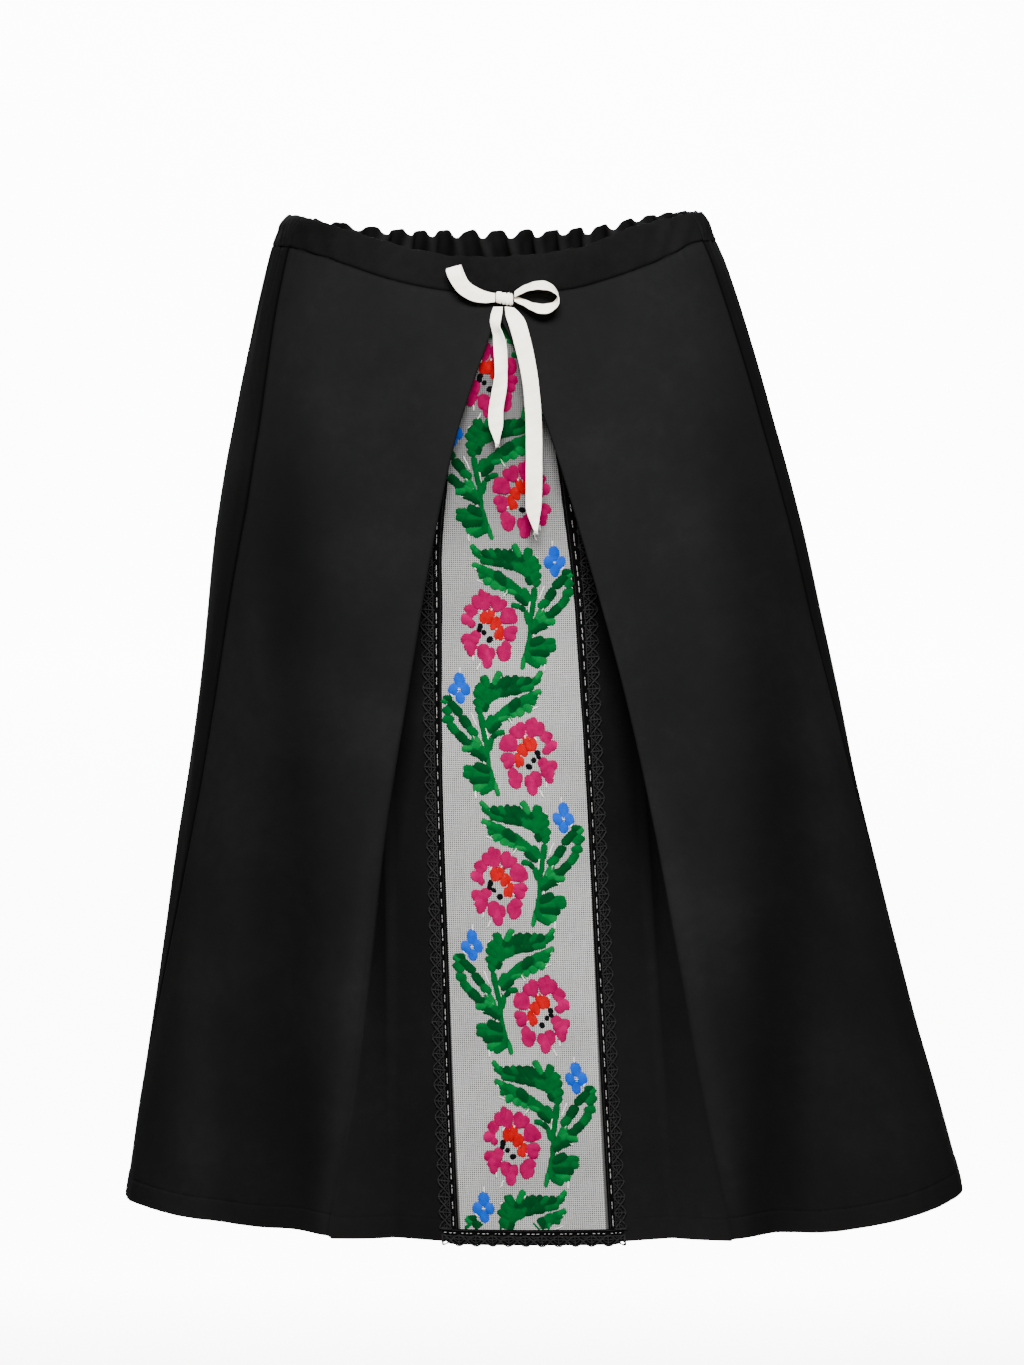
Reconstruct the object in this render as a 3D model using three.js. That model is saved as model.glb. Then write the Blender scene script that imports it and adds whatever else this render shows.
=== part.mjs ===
import * as THREE from 'three';

// A-line midi skirt, filled out with nobody in it. Millimetres, +Z up, front towards -Y.
// The origin is the middle of the waist, level with the band at its sides.

// Driving sizes
const CLOTH = 1.2;              // wall of the skirt cloth
const BAND = 2.6;               // wall of the doubled waistband
const RIBBON = 1.0;             // wall of the bow's ribbon
const LACE = 1.0;               // wall of the crochet lace
const SEAM = 0.3;               // space left at every seam
const LAID = 0.5;               // space under a piece that is laid on another
const FOOT_DIP = 0.9;           // how far the lace across the strip hangs below it between tips
const FOOT_TIP = 3.2;           // and at a tip
const LACE_REPEAT = 12.4;       // one scallop
const LACE_DIP = 9.0;           // lace width between two scallops
const LACE_FULL = 13.2;         // lace width at the tip of a scallop
const LACE_ROUND = 0.62;        // how far the width has grown halfway to the tip
const GATHERS = 27;             // gathers of the elastic back
const GATHER_DEPTH = 2.1;       // how far one gather stands out
const PLEAT_TOP = -41.4;        // upper end of the layers inside the pleat
const STRIP_HEM = -731.5;       // lower edge of the layers inside the pleat
const LACE_HEAD = -722.4;       // upper edge of the lace across the strip
const TILT = Math.PI / 180;

// Level sections of the skirt: middle, half width, depth to the front and to the back
const BODY = [
  { z: 16, mid: 1.6, half: 149.6, front: 89.0, back: 91.0 },
  { z: 7, mid: 0.2, half: 156.8, front: 91.5, back: 94.0 },
  { z: -2, mid: 0.0, half: 160.6, front: 93.5, back: 96.5 },
  { z: -11, mid: 0.3, half: 164.0, front: 95.0, back: 98.5 },
  { z: -22, mid: 1.2, half: 168.0, front: 96.5, back: 101.0 },
  { z: -51, mid: 2.7, half: 176.9, front: 99.5, back: 106.5 },
  { z: -81, mid: 4.1, half: 185.3, front: 103.0, back: 112.0 },
  { z: -111, mid: 5.3, half: 193.3, front: 106.5, back: 117.0 },
  { z: -141, mid: 6.5, half: 200.6, front: 109.8, back: 121.5 },
  { z: -170, mid: 7.8, half: 207.8, front: 112.8, back: 126.0 },
  { z: -200, mid: 9.4, half: 214.4, front: 115.5, back: 130.0 },
  { z: -230, mid: 10.9, half: 220.4, front: 118.0, back: 133.5 },
  { z: -290, mid: 13.9, half: 230.0, front: 122.5, back: 140.0 },
  { z: -350, mid: 17.2, half: 240.0, front: 127.0, back: 146.0 },
  { z: -412, mid: 20.2, half: 250.9, front: 131.5, back: 152.0 },
  { z: -472, mid: 22.9, half: 262.9, front: 136.0, back: 158.0 },
  { z: -534, mid: 25.8, half: 275.4, front: 140.5, back: 164.0 },
  { z: -595, mid: 29.2, half: 288.1, front: 145.0, back: 170.5 },
  { z: -657, mid: 33.3, half: 302.2, front: 149.0, back: 177.0 },
  { z: -740, mid: 39.0, half: 320.8, front: 154.0, back: 186.0 },
];

// Edges of the waistband around the waist: 0 right side, 90 back, 180 left side, 270 front
const WAIST = [
  { turn: 0, top: 14.0, bottom: -7.5 },
  { turn: 22, top: 12.8, bottom: -11.0 },
  { turn: 45, top: 7.0, bottom: -20.5 },
  { turn: 60, top: -1.4, bottom: -30.0 },
  { turn: 75, top: -5.2, bottom: -34.8 },
  { turn: 90, top: -6.2, bottom: -36.6 },
  { turn: 103, top: -5.8, bottom: -36.2 },
  { turn: 117, top: -4.4, bottom: -34.2 },
  { turn: 129, top: -1.2, bottom: -30.2 },
  { turn: 140, top: 3.0, bottom: -25.0 },
  { turn: 160, top: 9.4, bottom: -15.5 },
  { turn: 180, top: 11.7, bottom: -11.0 },
  { turn: 201.6, top: 11.8, bottom: -9.8 },
  { turn: 213.3, top: 9.3, bottom: -12.9 },
  { turn: 222, top: 6.4, bottom: -16.5 },
  { turn: 230, top: 2.5, bottom: -21.6 },
  { turn: 244.7, top: -6.5, bottom: -32.3 },
  { turn: 256.7, top: -12.9, bottom: -38.6 },
  { turn: 267.7, top: -14.6, bottom: -40.9 },
  { turn: 277.2, top: -13.2, bottom: -40.6 },
  { turn: 288.5, top: -9.7, bottom: -37.5 },
  { turn: 297.1, top: -4.3, bottom: -31.7 },
  { turn: 306.4, top: 4.2, bottom: -24.7 },
  { turn: 317.2, top: 9.4, bottom: -16.8 },
  { turn: 331, top: 13.0, bottom: -7.6 },
  { turn: 341, top: 14.4, bottom: -5.6 },
  { turn: 360, top: 14.0, bottom: -7.5 },
];

// Height of the hem around the skirt
const HEM = [
  { turn: 0, z: -717.0 },
  { turn: 45, z: -722.0 },
  { turn: 90, z: -727.0 },
  { turn: 135, z: -729.5 },
  { turn: 180, z: -727.0 },
  { turn: 200, z: -724.4 },
  { turn: 225, z: -725.8 },
  { turn: 250, z: -728.8 },
  { turn: 262, z: -731.0 },
  { turn: 280, z: -730.6 },
  { turn: 300, z: -728.4 },
  { turn: 320, z: -728.2 },
  { turn: 340, z: -722.0 },
  { turn: 360, z: -717.0 },
];

// Side seams: degrees forward of the left and the right side
const SIDE_SEAM = [
  { z: 20, left: 21.6, right: 19.0 },
  { z: -51, left: 22.5, right: 19.0 },
  { z: -126, left: 25.5, right: 18.2 },
  { z: -200, left: 25.8, right: 17.4 },
  { z: -275, left: 22.4, right: 15.6 },
  { z: -351, left: 19.4, right: 12.2 },
  { z: -427, left: 16.4, right: 8.2 },
  { z: -503, left: 13.4, right: 3.2 },
  { z: -579, left: 8.6, right: -1.6 },
  { z: -640, left: 2.0, right: -4.6 },
  { z: -740, left: -5.0, right: -7.0 },
];

// Inverted pleat: its middle, the two fold edges, then measured from the middle and behind the
// front the roll of the inner fold and the edge of the embroidered strip, with its slight bow
const PLEAT = [
  { z: -30, mid: 1.0, left: 0.1, right: 1.9, roll: 72.6, deep: 3.4, net: 55.0, netDeep: 5.1, bow: 0.0 },
  { z: -46, mid: 1.2, left: 0.1, right: 2.1, roll: 72.6, deep: 3.4, net: 55.0, netDeep: 5.1, bow: 0.0 },
  { z: -58, mid: 1.7, left: -0.9, right: 4.4, roll: 73.0, deep: 4.0, net: 55.0, netDeep: 5.8, bow: 0.0 },
  { z: -75, mid: 2.5, left: -5.4, right: 12.4, roll: 74.0, deep: 5.8, net: 54.6, netDeep: 7.6, bow: 0.3 },
  { z: -100, mid: 3.8, left: -14.4, right: 24.4, roll: 76.0, deep: 9.5, net: 54.0, netDeep: 10.5, bow: 1.0 },
  { z: -150, mid: 6.2, left: -30.0, right: 43.0, roll: 80.0, deep: 18.5, net: 53.0, netDeep: 16.5, bow: 1.8 },
  { z: -225, mid: 8.8, left: -45.8, right: 65.5, roll: 85.0, deep: 30.0, net: 52.4, netDeep: 22.5, bow: 2.4 },
  { z: -330, mid: 12.0, left: -63.6, right: 94.6, roll: 89.0, deep: 36.0, net: 52.8, netDeep: 25.5, bow: 2.6 },
  { z: -430, mid: 15.3, left: -79.6, right: 116.6, roll: 91.0, deep: 34.0, net: 53.5, netDeep: 23.5, bow: 2.6 },
  { z: -530, mid: 19.4, left: -90.6, right: 135.0, roll: 93.0, deep: 24.0, net: 54.2, netDeep: 16.5, bow: 2.4 },
  { z: -630, mid: 23.4, left: -101.4, right: 151.6, roll: 97.0, deep: 12.5, net: 55.0, netDeep: 8.0, bow: 2.0 },
  { z: -740, mid: 28.8, left: -117.6, right: 172.6, roll: 101.0, deep: 2.5, net: 55.5, netDeep: 2.5, bow: 1.5 },
];

// How round the folds of the pleat are, and how far its fold edges stand forward
const PLEAT_ROLL = [
  { z: -30, leftRound: 0.85, rightRound: 0.85, innerRound: 1.7, leftLift: 0.0, rightLift: 0.0 },
  { z: -58, leftRound: 0.9, rightRound: 0.9, innerRound: 1.8, leftLift: 0.4, rightLift: 0.4 },
  { z: -100, leftRound: 1.4, rightRound: 1.1, innerRound: 2.4, leftLift: 1.6, rightLift: 1.4 },
  { z: -150, leftRound: 2.0, rightRound: 1.3, innerRound: 3.2, leftLift: 2.8, rightLift: 2.4 },
  { z: -330, leftRound: 3.4, rightRound: 1.7, innerRound: 5.5, leftLift: 5.0, rightLift: 4.6 },
  { z: -530, leftRound: 5.0, rightRound: 2.4, innerRound: 8.0, leftLift: 7.0, rightLift: 6.4 },
  { z: -740, leftRound: 7.0, rightRound: 4.0, innerRound: 10.0, leftLift: 8.5, rightLift: 8.0 },
];

// Soft hanging folds of the front: place across, height where each starts, width, rise at the hem
const FRONT_FOLDS = [
  { x: -240, start: -380, width: 19, rise: 5.0 },
  { x: -205, start: -300, width: 15, rise: -3.5 },
  { x: -147, start: -120, width: 17, rise: -8.0 },
  { x: 204, start: -220, width: 17, rise: -8.0 },
  { x: 243, start: -330, width: 16, rise: 5.0 },
  { x: 285, start: -420, width: 16, rise: -3.0 },
];

// Flares of the back: place around it, width in degrees, height where each starts, rise at the hem
const BACK_FOLDS = [
  { turn: 26, width: 7.5, start: -330, rise: 7.0 },
  { turn: 41, width: 6.5, start: -240, rise: -8.5 },
  { turn: 56, width: 7.0, start: -170, rise: 10.5 },
  { turn: 71, width: 6.0, start: -150, rise: -9.0 },
  { turn: 86, width: 6.5, start: -130, rise: 11.5 },
  { turn: 101, width: 6.5, start: -150, rise: -8.5 },
  { turn: 117, width: 7.5, start: -170, rise: 11.0 },
  { turn: 133, width: 6.5, start: -200, rise: -9.5 },
  { turn: 150, width: 7.5, start: -280, rise: 8.0 },
];

// Bow, a row per section of its ribbon: middle of the ribbon and half of its width as an arrow
const BOW_LOOP_LEFT = [
  { x: 0.15, y: -103.8, z: -43.6, ax: 0.0, ay: 0.0, az: 3.4 },
  { x: -7.5, y: -104.8, z: -44.2, ax: 0.3, ay: 0.0, az: 3.8 },
  { x: -15.5, y: -105.6, z: -42.6, ax: 2.3, ay: 0.2, az: 4.6 },
  { x: -22.5, y: -106.2, z: -38.0, ax: 4.9, ay: 0.4, az: 3.2 },
  { x: -27.3, y: -106.2, z: -31.4, ax: 5.8, ay: 0.5, az: 1.8 },
  { x: -29.5, y: -105.6, z: -25.0, ax: 6.0, ay: 0.4, az: 1.3 },
  { x: -29.8, y: -103.8, z: -21.7, ax: 5.9, ay: 0.3, az: 1.9 },
  { x: -28.9, y: -101.9, z: -23.6, ax: 5.9, ay: 0.3, az: 1.5 },
  { x: -26.6, y: -101.0, z: -28.8, ax: 5.9, ay: 0.3, az: 1.2 },
  { x: -22.2, y: -100.8, z: -34.6, ax: 5.4, ay: 0.3, az: 2.4 },
  { x: -14.5, y: -101.0, z: -39.6, ax: 2.8, ay: 0.2, az: 3.9 },
  { x: -7.0, y: -101.4, z: -42.4, ax: 0.8, ay: 0.1, az: 3.4 },
  { x: -0.4, y: -102.0, z: -43.4, ax: 0.0, ay: 0.0, az: 3.0 },
];
const BOW_LOOP_RIGHT = [
  { x: 14.2, y: -103.6, z: -41.4, ax: 0.0, ay: -2.8, az: -1.6 },
  { x: 20.0, y: -104.2, z: -37.9, ax: 0.0, ay: -4.4, az: -2.2 },
  { x: 27.0, y: -104.8, z: -35.3, ax: 0.0, ay: -5.3, az: -2.5 },
  { x: 34.5, y: -105.0, z: -34.6, ax: 0.0, ay: -5.4, az: -2.6 },
  { x: 41.0, y: -105.0, z: -36.4, ax: 0.4, ay: -5.4, az: -2.6 },
  { x: 45.2, y: -105.0, z: -40.6, ax: 0.6, ay: -5.4, az: -2.5 },
  { x: 45.6, y: -105.0, z: -45.8, ax: 0.4, ay: -5.4, az: -2.6 },
  { x: 41.4, y: -105.0, z: -50.4, ax: -0.2, ay: -5.3, az: -2.9 },
  { x: 34.6, y: -105.0, z: -51.8, ax: -0.3, ay: -5.2, az: -3.0 },
  { x: 27.4, y: -104.8, z: -50.2, ax: -0.2, ay: -5.0, az: -2.8 },
  { x: 20.6, y: -104.3, z: -47.0, ax: 0.0, ay: -3.8, az: -2.0 },
  { x: 14.2, y: -103.6, z: -44.8, ax: 0.0, ay: -2.6, az: -1.2 },
];
const BOW_TAIL_LEFT = [
  { x: 2.3, y: -103.4, z: -50.4, ax: 3.4, ay: 0.0, az: 0.0 },
  { x: 1.0, y: -104.0, z: -56.5, ax: 4.0, ay: -1.2, az: 0.2 },
  { x: 0.2, y: -106.4, z: -63.5, ax: 3.4, ay: -3.2, az: 0.0 },
  { x: 2.6, y: -107.0, z: -71.5, ax: 4.0, ay: -3.0, az: 0.3 },
  { x: 4.0, y: -107.4, z: -82.5, ax: 4.8, ay: -1.6, az: 0.2 },
  { x: 4.5, y: -107.8, z: -98.5, ax: 4.6, ay: 2.2, az: 0.0 },
  { x: 3.0, y: -108.0, z: -111.5, ax: 5.2, ay: 1.6, az: -0.3 },
  { x: 0.8, y: -108.2, z: -124.5, ax: 5.3, ay: 0.6, az: -0.4 },
  { x: 0.7, y: -108.4, z: -135.5, ax: 5.2, ay: -0.4, az: -0.2 },
  { x: 1.2, y: -108.6, z: -144.0, ax: 2.8, ay: -0.4, az: 0.0 },
  { x: 1.8, y: -108.6, z: -149.5, ax: 1.2, ay: 0.0, az: 0.0 },
];
const BOW_TAIL_RIGHT = [
  { x: 10.4, y: -103.9, z: -50.5, ax: 3.2, ay: 0.0, az: -0.35 },
  { x: 13.0, y: -104.6, z: -56.0, ax: 5.0, ay: -0.6, az: 1.2 },
  { x: 16.6, y: -106.0, z: -63.5, ax: 5.9, ay: -0.6, az: 1.7 },
  { x: 21.2, y: -108.6, z: -80.5, ax: 5.9, ay: -0.8, az: 1.5 },
  { x: 24.9, y: -110.6, z: -98.5, ax: 5.7, ay: -1.2, az: 1.0 },
  { x: 27.0, y: -111.6, z: -116.0, ax: 5.7, ay: -1.4, az: 0.6 },
  { x: 28.1, y: -112.2, z: -133.5, ax: 5.8, ay: -0.6, az: 0.2 },
  { x: 28.4, y: -112.8, z: -155.0, ax: 5.9, ay: 0.4, az: 0.0 },
  { x: 28.3, y: -113.2, z: -180.0, ax: 5.9, ay: 0.8, az: 0.0 },
  { x: 28.0, y: -113.4, z: -195.0, ax: 5.6, ay: 0.6, az: 0.0 },
  { x: 28.4, y: -113.6, z: -202.0, ax: 4.2, ay: 0.2, az: 0.2 },
  { x: 29.8, y: -113.6, z: -212.5, ax: 1.3, ay: 0.0, az: 0.0 },
];

// Smooth reading of one column of a table at a place along it
function read(table, key, place, column) {
  const up = table[0][key] < table[table.length - 1][key];
  let i = 0;
  while (i < table.length - 2 && (up ? table[i + 1][key] < place : table[i + 1][key] > place)) {
    i += 1;
  }
  const a = table[i];
  const b = table[i + 1];
  const before = table[i - 1] || a;
  const after = table[i + 2] || b;
  const span = b[key] - a[key];
  const t = Math.min(1, Math.max(0, (place - a[key]) / span));
  const slope = (low, high) => (high[column] - low[column]) / (high[key] - low[key]);
  const slopeIn = slope(before, b);
  const slopeOut = slope(a, after);
  const t2 = t * t;
  const t3 = t2 * t;
  return (
    (2 * t3 - 3 * t2 + 1) * a[column]
    + (t3 - 2 * t2 + t) * span * slopeIn
    + (3 * t2 - 2 * t3) * b[column]
    + (t3 - t2) * span * slopeOut
  );
}

function smooth(t) {
  const k = Math.min(1, Math.max(0, t));
  return k * k * (3 - 2 * k);
}

// Soft section curve: 0 at the side, 1 in the middle of the front or the back
function bulge(share, power) {
  return Math.pow(Math.max(0, 1 - Math.pow(Math.min(1, Math.abs(share)), power)), 1 / power);
}

// Front surface at one place across and one height, before any fold
function frontY(x, z) {
  const share = (x - read(BODY, 'z', z, 'mid')) / read(BODY, 'z', z, 'half');
  return -read(BODY, 'z', z, 'front') * bulge(share, 2.12 + 0.2 * smooth(-z / 600));
}

// Gathers of the elastic: phase along the back, a little uneven like real gathers
function gatherPhase(u) {
  return 2 * Math.PI * (GATHERS * u + 0.16 * Math.sin(17 * u + 1) + 0.1 * Math.sin(41 * u));
}

function gatherRise(turn, z, from, to) {
  const u = (turn - from) / (to - from);
  const ends = smooth(u / 0.05) * smooth((1 - u) / 0.05);
  const uneven = 0.78 + 0.22 * Math.sin(29 * u + 2);
  return GATHER_DEPTH * uneven * ends * Math.sin(gatherPhase(u));
}

function seamTurn(z, side) {
  return side < 0 ? 180 + read(SIDE_SEAM, 'z', z, 'left') : 360 - read(SIDE_SEAM, 'z', z, 'right');
}

// Middle of the cloth all round the skirt
function skin(turn, z) {
  const mid = read(BODY, 'z', z, 'mid');
  const half = read(BODY, 'z', z, 'half');
  const cos = Math.cos(turn * TILT);
  const sin = Math.sin(turn * TILT);
  const x = mid + half * cos;
  if (sin < 0) {
    let y = frontY(x, z);
    for (const fold of FRONT_FOLDS) {
      const grown = smooth((fold.start - z) / (fold.start + 700));
      y -= fold.rise * grown * Math.exp(-(((x - fold.x) / fold.width) ** 2)) * -sin;
    }
    return new THREE.Vector2(x, y);
  }
  const y = read(BODY, 'z', z, 'back') * bulge(cos, 2.15);
  let out = 0;
  for (const fold of BACK_FOLDS) {
    const grown = smooth((fold.start - z) / (fold.start + 740));
    out += fold.rise * grown * Math.exp(-(((turn - fold.turn) / fold.width) ** 2));
  }
  out *= smooth(sin / 0.3);
  const length = Math.hypot(cos / half, sin / read(BODY, 'z', z, 'back'));
  return new THREE.Vector2(
    x + (out * (cos / half)) / length,
    y + (out * (sin / read(BODY, 'z', z, 'back'))) / length,
  );
}

// Back cloth with its gathers, which fade away below the band
function backSkin(turn, z) {
  const from = seamTurn(z, 1) - 360;
  const to = seamTurn(z, -1);
  const drop = read(WAIST, 'turn', (turn + 360) % 360, 'bottom') - z;
  const strength = z > -60 && drop < 0 ? 1 : Math.exp(-((Math.max(0, drop) / 62) ** 2));
  const p = skin((turn + 360) % 360, z);
  const a = skin((turn + 359.7) % 360, z);
  const b = skin((turn + 360.3) % 360, z);
  const normal = new THREE.Vector2(b.y - a.y, a.x - b.x).normalize();
  return p.addScaledVector(normal, strength * gatherRise(turn, z, from, to));
}

// Section of the front cloth through the pleat on one side, in steps
// 0-1 side seam to fold edge, 1-2 round the edge, 2-3 back leg, 3-4 inner fold, 4-5 to the strip
function pleatAt(z, side) {
  const row = (column) => read(PLEAT, 'z', z, column);
  const roll = (column) => read(PLEAT_ROLL, 'z', z, column);
  const mid = row('mid');
  const edge = side < 0 ? mid - row('left') : row('right') - mid;
  const edgeRound = side < 0 ? roll('leftRound') : roll('rightRound');
  const lift = side < 0 ? roll('leftLift') : roll('rightLift');
  const innerRound = roll('innerRound');
  const c0 = new THREE.Vector2(edge + edgeRound, edgeRound - lift);
  const c1 = new THREE.Vector2(row('roll'), row('deep'));
  const net = new THREE.Vector2(row('net'), row('netDeep'));
  const legLine = c1.clone().sub(c0);
  const leg = legLine.angle() - Math.asin((edgeRound + innerRound) / legLine.length());
  const underLine = net.clone().sub(c1);
  const under = underLine.angle() + Math.asin(innerRound / underLine.length());
  return { mid, lift, edgeRound, innerRound, c0, c1, net, leg, under, bow: row('bow') };
}

function toWorld(p, mid, side, z) {
  const x = mid + side * p.x;
  return new THREE.Vector2(x, frontY(x, z) + p.y);
}

function leftOf(angle, radius) {
  return new THREE.Vector2(-Math.sin(angle) * radius, Math.cos(angle) * radius);
}

// Place around the skirt of a step between the side seam and the fold edge
function frontTurn(step, z, side) {
  const k = pleatAt(z, side);
  const share = (k.mid + side * k.c0.x - read(BODY, 'z', z, 'mid')) / read(BODY, 'z', z, 'half');
  const ridgeTurn = 360 - Math.acos(share) / TILT;
  const from = seamTurn(z, side);
  const eased = step + 0.12 * Math.sin(Math.PI * step) * step;
  return from + (ridgeTurn - from) * Math.min(1, eased);
}

function frontPath(step, z, side) {
  const k = pleatAt(z, side);
  if (step <= 1) {
    const ridge = k.mid + side * k.c0.x;
    const p = skin(frontTurn(step, z, side), z);
    p.y -= k.lift * Math.exp(-(((p.x - ridge) / 26) ** 2));
    return p;
  }
  let p;
  if (step <= 2) {
    const a = Math.PI + (k.leg - Math.PI) * (step - 1);
    p = k.c0.clone().add(leftOf(a, k.edgeRound));
  } else if (step <= 3) {
    const a = k.c0.clone().add(leftOf(k.leg, k.edgeRound));
    const b = k.c1.clone().sub(leftOf(k.leg, k.innerRound));
    p = a.lerp(b, step - 2);
  } else if (step <= 4) {
    const a = k.leg + (k.under - k.leg) * (step - 3);
    p = k.c1.clone().sub(leftOf(a, k.innerRound));
  } else {
    const a = k.c1.clone().sub(leftOf(k.under, k.innerRound));
    p = a.lerp(k.net, step - 4);
  }
  return toWorld(p, k.mid, side, z);
}

// Embroidered strip inside the pleat, from its left edge (-1) to its right edge (1)
function stripPath(across, z) {
  const k = pleatAt(z, 1);
  const p = new THREE.Vector2(k.net.x * across, k.net.y - k.bow * (1 - across * across));
  return toWorld(p, k.mid, 1, z);
}

// A wall from a path: both faces of the cloth at one place
function faces(path, step, z, wall, sign, trim = 0) {
  const d = 0.004;
  const a = path(step - d, z);
  const b = path(step + d, z);
  const tangent = b.clone().sub(a).normalize();
  const normal = new THREE.Vector2(sign * -tangent.y, sign * tangent.x);
  const p = path(step, z).addScaledVector(tangent, trim);
  const outer = p.clone().addScaledVector(normal, wall / 2);
  const inner = p.clone().addScaledVector(normal, -wall / 2);
  return [new THREE.Vector3(outer.x, outer.y, z), new THREE.Vector3(inner.x, inner.y, z)];
}

// Closed wall from rows of paired points; rows may hold different numbers of points
function wallMesh(name, color, rows, flip = false) {
  const positions = [];
  const index = [];
  const ids = rows.map((row) => row.pairs.map((pair) => {
    const id = positions.length / 3;
    positions.push(...pair[0].toArray(), ...pair[1].toArray());
    return id;
  }));
  const tri = (a, b, c) => {
    if (flip) {
      index.push(a, c, b);
    } else {
      index.push(a, b, c);
    }
  };
  for (let j = 0; j < rows.length - 1; j += 1) {
    const at0 = rows[j].at;
    const at1 = rows[j + 1].at;
    let i = 0;
    let k = 0;
    while (i < at0.length - 1 || k < at1.length - 1) {
      const upper = i < at0.length - 1 && (k >= at1.length - 1 || at0[i + 1] <= at1[k + 1] + 1e-9);
      const even = upper && k < at1.length - 1 && Math.abs(at0[i + 1] - at1[k + 1]) < 1e-9;
      const a = ids[j][i];
      const b = ids[j + 1][k];
      if (even) {
        const c = ids[j][i + 1];
        const d = ids[j + 1][k + 1];
        tri(a, b, d);
        tri(a, d, c);
        tri(a + 1, d + 1, b + 1);
        tri(a + 1, c + 1, d + 1);
        i += 1;
        k += 1;
      } else if (upper) {
        const c = ids[j][i + 1];
        tri(a, b, c);
        tri(a + 1, c + 1, b + 1);
        i += 1;
      } else {
        const d = ids[j + 1][k + 1];
        tri(a, b, d);
        tri(a + 1, d + 1, b + 1);
        k += 1;
      }
    }
    const last0 = ids[j][ids[j].length - 1];
    const last1 = ids[j + 1][ids[j + 1].length - 1];
    const first0 = ids[j][0];
    const first1 = ids[j + 1][0];
    tri(first0, first0 + 1, first1 + 1);
    tri(first0, first1 + 1, first1);
    tri(last0, last1 + 1, last0 + 1);
    tri(last0, last1, last1 + 1);
  }
  const top = ids[0];
  const end = ids[ids.length - 1];
  for (let i = 0; i < top.length - 1; i += 1) {
    tri(top[i], top[i + 1] + 1, top[i] + 1);
    tri(top[i], top[i + 1], top[i + 1] + 1);
  }
  for (let i = 0; i < end.length - 1; i += 1) {
    tri(end[i], end[i] + 1, end[i + 1] + 1);
    tri(end[i], end[i + 1] + 1, end[i + 1]);
  }
  const geometry = new THREE.BufferGeometry();
  geometry.setAttribute('position', new THREE.Float32BufferAttribute(positions, 3));
  geometry.setIndex(index);
  geometry.computeVertexNormals();
  const material = new THREE.MeshStandardMaterial({ color, roughness: 0.85, metalness: 0 });
  const mesh = new THREE.Mesh(geometry, material);
  mesh.name = name;
  return mesh;
}

function range(count, from = 0, to = 1) {
  return Array.from({ length: count + 1 }, (unused, i) => from + ((to - from) * i) / count);
}

const BLACK = 0x18181b;
const NET = 0xb4b2b0;
const CREAM = 0xf2efe6;

// Rows down the skirt: close together at the band, where the pleat opens and the gathers fade
const ROWS = [0, 0.014, 0.036, 0.07, 0.115, 0.165, 0.215, 0.27, 0.33, 0.4, 0.47, 0.545, 0.62, 0.7,
  0.78, 0.86, 0.93, 1];
const FRONT_STEPS = [
  ...range(15, 0, 1),
  ...range(4, 1, 2).slice(1),
  ...range(3, 2, 3).slice(1),
  ...range(4, 3, 4).slice(1),
  ...range(3, 4, 5).slice(1),
];

// Upper and lower end of the cloth at a place around the top and a place around the hem
function clothEnds(turnTop, turnHem) {
  return {
    top: read(WAIST, 'turn', (turnTop + 360) % 360, 'bottom') - SEAM - 0.1,
    hem: read(HEM, 'turn', (turnHem + 360) % 360, 'z'),
  };
}

function frontEnds(step, side) {
  const at = Math.min(step, 1);
  const { top, hem } = clothEnds(frontTurn(at, -36, side), frontTurn(at, -728, side));
  const inside = smooth((step - 1) / 2);
  return { top: top + (PLEAT_TOP - top) * inside, hem: hem + (STRIP_HEM - hem) * inside };
}

function frontPanel(name, side) {
  const path = (step, z) => frontPath(step, z, side);
  const ends = FRONT_STEPS.map((step) => frontEnds(step, side));
  const rows = ROWS.map((t) => ({
    at: FRONT_STEPS,
    pairs: FRONT_STEPS.map((step, i) => {
      const z = ends[i].top + (ends[i].hem - ends[i].top) * t;
      const trim = step === 0 ? 0.2 : step === 5 ? -0.2 : 0;
      return faces(path, step, z, CLOTH, side, trim);
    }),
  }));
  return wallMesh(name, BLACK, rows, side > 0);
}

function stripPanel() {
  const at = range(8, -1, 1);
  const rows = ROWS.map((t) => ({
    at,
    pairs: at.map((across) => {
      const z = PLEAT_TOP + (STRIP_HEM - PLEAT_TOP) * t;
      const trim = across === -1 ? 0.2 : across === 1 ? -0.2 : 0;
      return faces(stripPath, across, z, CLOTH, -1, trim);
    }),
  }));
  return wallMesh('embroidered_strip', NET, rows);
}

// Point laid on a wall of straight rows, moved out by the spaces between
function laidOn(path, step, t, sign, out) {
  let j = 0;
  while (j < ROWS.length - 2 && ROWS[j + 1] < t) {
    j += 1;
  }
  const k = (t - ROWS[j]) / (ROWS[j + 1] - ROWS[j]);
  const at = (row) => {
    const z = PLEAT_TOP + (STRIP_HEM - PLEAT_TOP) * ROWS[row];
    return faces(path, step, z, 2 * out, sign)[0];
  };
  return at(j).lerp(at(j + 1), k);
}

function lacePair(path, step, t, sign) {
  const low = CLOTH / 2 + LAID;
  return [laidOn(path, step, t, sign, low + LACE), laidOn(path, step, t, sign, low)];
}

// Edge of the lace at a quarter of a scallop, from its dip to its tip
function scalloped(quarter, dip, tip) {
  const grown = [1, LACE_ROUND, 0, LACE_ROUND][quarter % 4];
  return dip + (tip - dip) * grown;
}

// Step on the underlay that lies a given width away from the strip's edge
function underStep(z, side, width) {
  const k = pleatAt(z, side);
  const start = k.c1.clone().sub(leftOf(k.under, k.innerRound));
  return 5 - width / start.distanceTo(k.net);
}

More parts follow.
